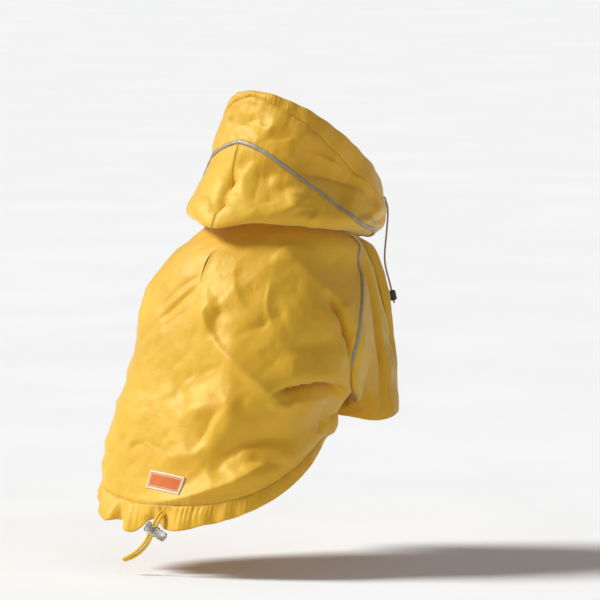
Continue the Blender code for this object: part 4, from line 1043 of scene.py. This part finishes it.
def stitches(name, lines, look):
    """Rows of stitches along lines of places and normals, lying on the cloth, in one mesh."""
    turn = np.linspace(0, 2 * np.pi, STITCH_SIDES, endpoint=False)
    sides = grid_faces(len(STITCH_PROFILE), STITCH_SIDES, True)
    last = (len(STITCH_PROFILE) - 1) * STITCH_SIDES
    vertices, faces = [], []
    for places, ups in lines:
        travel = travel_along(places)
        for at in np.arange(STITCH_PITCH, travel[-1] - STITCH_PITCH / 2, STITCH_PITCH):
            spots = read_at(at + np.array([-0.5, 0.0, 0.5]) * STITCH_LENGTH, travel, places)
            up = unit(read_at(at, travel, ups))
            along = unit(spots[2] - spots[0])
            aside = np.cross(up, along) * STITCH_SPREAD
            ring = np.outer(np.cos(turn), aside) + np.outer(np.sin(turn), up)
            base = len(vertices)
            for share, swell in STITCH_PROFILE:
                rise = STITCH_RISE + STITCH_RADIUS * (swell - 1)
                centre = spots[1] + up * rise + along * STITCH_LENGTH * share
                vertices += list(centre + STITCH_RADIUS * swell * ring)
            faces += (sides + base).tolist()
            faces.append([base + k for k in reversed(range(STITCH_SIDES))])
            faces.append([base + last + k for k in range(STITCH_SIDES)])
    return mesh_piece(name, vertices, faces, look)


def tube(name, line, across, up, profile, round_it, travel, look):
    """A closed tube: rings of (across, up) along a line, one ring for all of it or one for each point."""
    rings = line[:, None, :] + across[:, None, :] * profile[..., :1] + up[:, None, :] * profile[..., 1:]
    count, sides = rings.shape[:2]
    faces = grid_faces(count, sides, True).tolist()
    faces += [list(range(sides)), list(range((count - 1) * sides, count * sides))]
    uv = np.stack(np.broadcast_arrays(round_it[None, :], travel[:, None]), -1).reshape(-1, 2)
    piece = mesh_piece(name, rings.reshape(-1, 3), faces, look, uv)
    edit_mesh(piece, outside_out)
    return piece


def piping(name, seam, beside, other_beside, look, node):
    """Flat reflective piping over a seam, level with the cloth beside it on both sides."""
    along = unit(np.gradient(seam, axis=0))
    ups = unit(np.cross(along, unit(seam - beside)) + np.cross(along, unit(other_beside - seam)))
    across = unit(np.cross(ups, along))
    turn = np.linspace(0, 2 * np.pi, PIPING_SIDES, endpoint=False)
    flat = np.sign(np.cos(turn)) * np.abs(np.cos(turn)) ** PIPING_FLATNESS
    profile = np.stack([PIPING_WIDTH / 2 * flat, PIPING_THICKNESS / 2 * np.sin(turn)], -1)
    uneven, spacing, phase = PIPING_RIPPLE
    lift = PIPING_THICKNESS / 2 + uneven * ripple(travel_along(seam), spacing, phase)
    line = seam + ups * lift[:, None]
    round_it = np.linspace(0, 3 * PIPING_WIDTH, PIPING_SIDES)
    piece = tube(name, line, across, ups, profile, round_it, travel_along(line), look)
    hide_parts(node)


def laid_on(angle, row, across, down, width, height):
    """Angles and rows of the body that lie at given distances across and down from a place on it."""
    centre = plain(BODY, angle, row)
    angle, row = np.full(width.shape, float(angle)), np.full(width.shape, float(row))
    for _ in range(LABEL_ROUNDS):
        offset = plain(BODY, angle, row) - centre
        by_angle = plain(BODY, angle + 0.5, row) - plain(BODY, angle - 0.5, row)
        by_row = (plain(BODY, angle, row + 0.05) - plain(BODY, angle, row - 0.05)) / 0.1
        more_across = width - offset @ across
        more_down = height - offset @ down
        scale = (by_row @ across) * (by_angle @ down) - (by_row @ down) * (by_angle @ across)
        row = row + (more_across * (by_angle @ down) - more_down * (by_angle @ across)) / scale
        angle = angle + (more_down * (by_row @ across) - more_across * (by_row @ down)) / scale
    return angle, row


def label_grid():
    """Points of the tilted label, laid on the body, and their outward normals."""
    angle, row = LABEL_PLACE
    normal = outward(BODY, angle, row)
    level = unit(plain(BODY, angle - 1, row) - plain(BODY, angle + 1, row))
    plumb = np.cross(level, normal)
    tilt = np.radians(LABEL_TILT)
    across = np.cos(tilt) * level + np.sin(tilt) * plumb
    down = np.cos(tilt) * plumb - np.sin(tilt) * level
    steps = [np.linspace(-size / 2, size / 2, cells + 1) for size, cells in zip(LABEL_SIZE, LABEL_CELLS)]
    points = body(*laid_on(angle, row, across, down, *np.meshgrid(*steps)))
    points = points + facing(points, normal) * (CLOTH / 2 + LABEL_SINK)
    return points, facing(points, normal)


def label_piece(look):
    """The woven label: a thick patch with a raised border, laid on the back panel."""
    points, up = label_grid()
    rows, columns = points.shape[:2]
    across = np.linspace(0, LABEL_SIZE[0], columns)[None, :]
    down = np.linspace(0, LABEL_SIZE[1], rows)[:, None]
    edge = np.minimum(np.minimum(across, LABEL_SIZE[0] - across), np.minimum(down, LABEL_SIZE[1] - down))
    border = ease((edge - 0.1) / LABEL_SLOPE) * (1 - 0.5 * ease((edge - LABEL_BORDER + 0.3) / LABEL_SLOPE))
    upper = points + up * (LABEL_CLOTH * (LABEL_EDGE + (1 - LABEL_EDGE) * border))[..., None]
    lower = points - up * LABEL_SINK
    index = np.arange(rows * columns).reshape(rows, columns)
    rim = np.concatenate([index[0], index[1:, -1], index[-1, -2::-1], index[-2:0:-1, 0]])
    after = np.roll(rim, -1)
    top = grid_faces(rows, columns)
    wall = np.stack([rim, after, after + index.size, rim + index.size], -1)
    faces = np.concatenate([top, top[:, ::-1] + index.size, wall]).tolist()
    flat = np.stack(np.broadcast_arrays(across, down), -1).reshape(-1, 2)
    vertices = np.concatenate([upper.reshape(-1, 3), lower.reshape(-1, 3)])
    piece = mesh_piece("woven_label", vertices, faces, look, np.concatenate([flat, flat]))
    edit_mesh(piece, outside_out)
    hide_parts("label")


def braided_cord(name, table, diameter, look, node):
    """A braided cord: a tube whose strands stand out a little, with a melted far end."""
    fine = model_place(*spline(table, np.linspace(0, len(table) - 1, CORD_STEPS)).T)
    fine_travel = travel_along(fine)
    length = fine_travel[-1]
    travel = np.linspace(0, length, int(round(length / CORD_RING)) + 1)
    line = read_at(travel, fine_travel, fine)
    along = unit(np.gradient(line, axis=0))
    across = unit(np.cross(along, CORD_ASIDE))
    turn = np.linspace(0, 2 * np.pi, CORD_SIDES, endpoint=False)
    twist = 2 * np.pi * travel[:, None] / (BRAID_PITCH * diameter)
    one_way = np.abs(np.sin(BRAID_STRANDS * turn / 2 + twist))
    other_way = np.abs(np.sin(BRAID_STRANDS * turn / 2 - twist))
    radius = diameter / 2 * (1 - BRAID_DEPTH + BRAID_DEPTH * np.maximum(one_way, other_way))
    reach, least = MELTED_END
    melted = np.clip((length - travel) / (reach * diameter), 0, 1)
    radius = radius * (least + (1 - least) * np.sqrt(1 - (1 - melted) ** 2))[:, None]
    profile = np.stack([radius * np.cos(turn), radius * np.sin(turn)], -1)
    up = np.cross(across, along)
    piece = tube(name, line, across, up, profile, turn * diameter / 2, travel, look)
    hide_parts(node)


class Look:
    """A procedural material: its Principled shader, and the nodes that feed it."""

    def __init__(self, name, settings):
        self.material = bpy.data.materials.new(name)
        self.material.use_nodes = True
        self.tree = self.material.node_tree
        self.shader = self.tree.nodes["Principled BSDF"]
        self.feed(self.shader, settings)
        self.place = self.node("TexCoord", {}).outputs
        self.normal = None

    def feed(self, node, values):
        """Give a node's inputs their numbers, or link them to other nodes' outputs."""
        for name, value in values.items():
            if isinstance(value, bpy.types.NodeSocket):
                self.tree.links.new(value, node.inputs[name])
            else:
                node.inputs[name].default_value = value

    def node(self, kind, values):
        made = self.tree.nodes.new("ShaderNode" + kind)
        self.feed(made, values)
        return made

    def noise(self, scale, detail=4.0, roughness=0.55, kind="FBM"):
        """Noise in the object's own places. Its scale is in features a metre."""
        values = {"Vector": self.place["Object"], "Scale": scale, "Detail": detail, "Roughness": roughness}
        made = self.node("TexNoise", values)
        made.noise_type = kind
        return made.outputs["Fac"]

    def maths(self, operation, first, second=0.0):
        made = self.node("Math", {0: first, 1: second})
        made.operation = operation
        return made.outputs[0]

    def colour(self, value, stops, interpolation="LINEAR"):
        """Colour the shader by a value, through a ramp of (position, colour) stops."""
        made = self.node("ValToRGB", {"Fac": value})
        made.color_ramp.interpolation = interpolation
        points = made.color_ramp.elements
        while len(points) < len(stops):
            points.new(0.5)
        for point, (position, colour) in zip(points, stops):
            point.position = position
            point.color = (*colour, 1.0)
        self.feed(self.shader, {"Base Color": made.outputs["Color"]})

    def bump(self, height, strength, distance):
        """Raise the surface by a height, over the bumps made before."""
        values = {"Height": height, "Strength": strength, "Distance": distance}
        if self.normal is not None:
            values["Normal"] = self.normal
        self.normal = self.node("Bump", values).outputs["Normal"]
        self.feed(self.shader, {"Normal": self.normal})

    def weave(self, threads_per_metre, strength, distance):
        """Raise a plain weave: threads that run across and down the cloth."""
        heights = []
        for direction in ("X", "Y"):
            values = {"Vector": self.place["UV"], "Scale": threads_per_metre / WAVE_UNIT, "Distortion": 0.4}
            made = self.node("TexWave", values)
            made.bands_direction = direction
            heights.append(made.outputs["Fac"])
        self.bump(self.maths("MULTIPLY", *heights), strength, distance)


def nylon_look():
    """Crisp yellow coated nylon: plain weave, fine crinkle, slightly uneven colour and gloss."""
    look = Look("yellow_nylon", NYLON_SETTINGS)
    look.colour(look.noise(14.0, 3.0), ((0.3, NYLON_DEEP), (0.7, NYLON_LIGHT)))
    least, most = NYLON_ROUGHNESS
    gloss = look.node("MapRange", {"Value": look.noise(90.0, 5.0), "To Min": least, "To Max": most})
    look.feed(look.shader, {"Roughness": gloss.outputs["Result"]})
    look.bump(look.noise(85.0, 5.0, 0.5, "RIDGED_MULTIFRACTAL"), 0.35, 0.0006)
    look.bump(look.noise(260.0, 6.0, 0.6), 0.35, 0.0009)
    look.weave(2400.0, 0.25, 0.00008)
    return look.material


def piping_look():
    """Grey reflective tape with a fine ribbed weave."""
    look = Look("reflective_piping", {"Roughness": 0.38, "Metallic": 0.15})
    look.colour(look.noise(120.0), ((0.3, PIPING_DEEP), (0.7, PIPING_LIGHT)))
    look.weave(1800.0, 0.4, 0.0001)
    return look.material


def label_look():
    """Orange woven field inside a cream woven border, with a thin plain frame line."""
    look = Look("orange_label", {"Roughness": 0.75, "Sheen Weight": 0.2})
    place = look.node("SeparateXYZ", {"Vector": look.place["UV"]})
    edges = []
    for axis, size in zip(("X", "Y"), LABEL_SIZE):
        from_middle = look.maths("ABSOLUTE", look.maths("SUBTRACT", place.outputs[axis], size / 2 * MM))
        edges.append(look.maths("SUBTRACT", size / 2 * MM, from_middle))
    half = LABEL_SIZE[1] / 2
    share = look.maths("MULTIPLY", look.maths("MINIMUM", *edges), 1.0 / (half * MM))
    look.colour(share, [(distance / half, colour) for distance, colour in LABEL_BANDS], "CONSTANT")
    look.weave(1600.0, 0.6, 0.00015)
    return look.material


def grained_look(name, colour, shade, settings, grain, spread=0.2, detail=4.0):
    """A colour that turns darker in grains, which also stand out. Grain is scale, strength and height."""
    look = Look(name, settings)
    scale, strength, height = grain
    noise = look.noise(scale, detail)
    deep = tuple(shade * part for part in colour)
    look.colour(noise, ((0.5 - spread, deep), (0.5 + spread, colour)))
    look.bump(noise, strength, height)
    return look.material


def cord_look(name, colour):
    settings = {"Roughness": 0.7, "Sheen Weight": 0.3}
    return grained_look(name, colour, 0.7, settings, (900.0, 0.5, 0.0001), detail=5.0)


def plastic_look(name, colour, roughness, clear=0.0):
    settings = {"Roughness": roughness, "Transmission Weight": clear, "IOR": 1.49}
    return grained_look(name, colour, 0.85, settings, (400.0, 0.15, 0.0002))


def picture_axes():
    """The camera's right, up and towards-the-camera directions."""
    azimuth, elevation = np.radians(CAMERA_AZIMUTH), np.radians(CAMERA_ELEVATION)
    level = Vector((np.sin(azimuth), -np.cos(azimuth), 0.0))
    back = level * np.cos(elevation) + Vector((0.0, 0.0, np.sin(elevation)))
    right = Vector((np.cos(azimuth), np.sin(azimuth), 0.0))
    return right, back.cross(right), back


def sun_light(name, rightward, backward, upward, strength, spread, colour):
    """A soft sun from a direction given in the picture: rightward, towards the camera, upward."""
    right, _, back = picture_axes()
    level_back = Vector((back.x, back.y, 0.0)).normalized()
    light = bpy.data.lights.new(name, "SUN")
    light.energy = strength
    light.angle = np.radians(spread)
    light.color = colour
    away = right * rightward + level_back * backward + Vector((0.0, 0.0, upward))
    add_object(name, light).rotation_euler = (-away).to_track_quat("-Z", "Y").to_euler()


def add_camera():
    right, up, back = picture_axes()
    camera = bpy.data.cameras.new("camera")
    camera.lens = LENS
    camera.sensor_width = SENSOR
    camera.clip_end = 100.0
    holder = add_object("camera", camera)
    aim = right * (AIM_RIGHT * MM) - up * (AIM_DOWN * MM)
    holder.location = aim + back * (FRAME_WIDTH * MM * LENS / SENSOR)
    holder.rotation_mode = "QUATERNION"
    holder.rotation_quaternion = (-back).to_track_quat("-Z", "Y")
    bpy.context.scene.camera = holder


def add_studio(lowest):
    """A plain pale floor, a key and a fill sun, and a soft world."""
    mesh = bpy.data.meshes.new("floor")
    corners = [(x * FLOOR_SIZE / 2, y * FLOOR_SIZE / 2, 0) for x, y in ((-1, -1), (1, -1), (1, 1), (-1, 1))]
    mesh.from_pydata(corners, [], [(0, 1, 2, 3)])
    floor = add_object("floor", mesh)
    floor.location = (0.0, 0.0, lowest - FLOOR_DROP * MM)
    look = Look("floor", {"Roughness": 0.9})
    look.colour(look.noise(3.0), ((0.3, FLOOR_DEEP), (0.7, FLOOR_LIGHT)))
    mesh.materials.append(look.material)
    floor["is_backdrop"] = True
    sun_light("key", *KEY_SUN)
    sun_light("fill", *FILL_SUN)
    world = bpy.data.worlds.new("studio")
    world.use_nodes = True
    shade = world.node_tree.nodes["Background"]
    shade.inputs["Color"].default_value = (*WORLD_COLOUR, 1.0)
    shade.inputs["Strength"].default_value = WORLD_STRENGTH
    bpy.context.scene.world = world
    bpy.context.scene.view_settings.view_transform = "Standard"


def build_cloth(nylon, thread):
    """The sewn pieces of the coat and their topstitching. Returns the back panel's points."""
    angles, levels = back_grid()
    grid = body(angles, levels)
    back, lines = sew("back_panel", grid, facing(grid), nylon, slit_levels=levels[:, BACK_HALF_CELLS])
    grid = body(*chest_grid())
    lines += sew("chest_panel", grid, facing(grid), nylon)[1]
    for name, side in (("sleeve_right", 1), ("sleeve_left", -1)):
        lines += sew(name, *creased_sleeve(side), nylon, closed=True)[1]
    rows = (lambda angle: np.full(angle.shape, CASING_ROW), HEM_ROW)
    grid = gathered_band(body, BODY, rows, HEM_CELLS, HEM_GATHERS, HEM_PLEATS, HEM_LOBES, hem_seam())
    lines += sew("hem_casing", grid, facing(grid), nylon, closed=True)[1]
    for name, edge in (("hood_back_right", ARCH_RIGHT), ("hood_back_left", ARCH_LEFT)):
        grid = hood_back_grid(edge)
        lines += sew(name, grid, facing(grid), nylon)[1]
    grid, front_angles = hood_front_grid()
    front, front_lines = sew("hood_front", grid, facing(grid), nylon, closed=True)
    seam = brim_seam(front_angles, front[-1])
    grid = gathered_band(hood, HOOD, (brim_row, FACE_ROW), BRIM_CELLS, BRIM_GATHERS, BRIM_PLEATS, (), seam)
    lines += front_lines + sew("hood_casing", grid, facing(grid), nylon, closed=True)[1]
    stitches("topstitching", lines, thread)
    return back


def build_trim(panel, grey, orange):
    """Piping over the hood's arched seam and the back of each armhole, and the label."""
    front, _ = hood_front_grid()
    arch = np.concatenate([ARCH_LEFT, ARCH_RIGHT[1:]])
    below = [hood_back_grid(edge)[-1 - ARCH_BESIDE] for edge in (ARCH_LEFT, ARCH_RIGHT)]
    below = np.concatenate([below[0], below[1][1:]])
    above = front[ARCH_BESIDE]
    above = np.concatenate([above[-len(ARCH_LEFT) :], above[1 : len(ARCH_RIGHT)]])
    lines = [line[PIPING_SPARE:-PIPING_SPARE] for line in (hood(*arch.T), below, above)]
    piping("hood_piping_strip", *lines, grey, "hood_piping")
    first, last = (int(round(share * ARM_BACK_CELLS)) for share in RAGLAN_PIPING_SHARES)
    stretch = slice(first, last + 1)
    for name, side, column in (("right", 1, RAGLAN_BESIDE), ("left", -1, -1 - RAGLAN_BESIDE)):
        line = body((side * ARM_BACK[:, 0]) % 360, ARM_BACK[:, 1])[stretch]
        beside = [panel[stretch, column], sleeve_grid(side)[0][RAGLAN_BESIDE, stretch]]
        piping("raglan_strip_" + name, line, *beside[::side], grey, "raglan_piping_" + name)
    label_piece(orange)


def dress(node, look):
    """Give a solid of the frame a finish."""
    node.data.materials.clear()
    node.data.materials.append(look)


def build_cords(taupe, yellow, black, clear):
    """Drawcords, the ends of the hem's elastic, and their cord locks."""
    for name, side in (("right", 1), ("left", -1)):
        path = [(forward, side * across, height) for forward, across, height in HOOD_CORD]
        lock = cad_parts["hood_lock_" + name]
        dress(lock, black)
        braided_cord("hood_drawcord_" + name, path, HOOD_CORD_DIAMETER, taupe,
                     "hood_cord_" + name)
    locks = [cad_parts["hem_lock_" + part] for part in ("barrel", "plunger")]
    for lock in locks:
        dress(lock, clear)
    braided_cord("hem_elastic_a", HEM_CORD_A, HEM_CORD_DIAMETER, yellow,
                 "hem_cord_a")
    braided_cord("hem_elastic_b", HEM_CORD_B, HEM_CORD_DIAMETER, yellow,
                 "hem_cord_b")


add_camera()
build_cords(
    cord_look("taupe_cord", TAUPE),
    cord_look("yellow_elastic", ELASTIC_YELLOW),
    plastic_look("black_plastic", LOCK_BLACK, 0.4),
    plastic_look("clear_plastic", LOCK_CLEAR, 0.08, 0.9),
)
THREAD = grained_look("thread", THREAD_YELLOW, 0.8, {"Roughness": 0.5}, (700.0, 0.4, 0.0001), spread=0.15)
build_trim(build_cloth(nylon_look(), THREAD), piping_look(), label_look())
add_studio(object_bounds()[0].z)
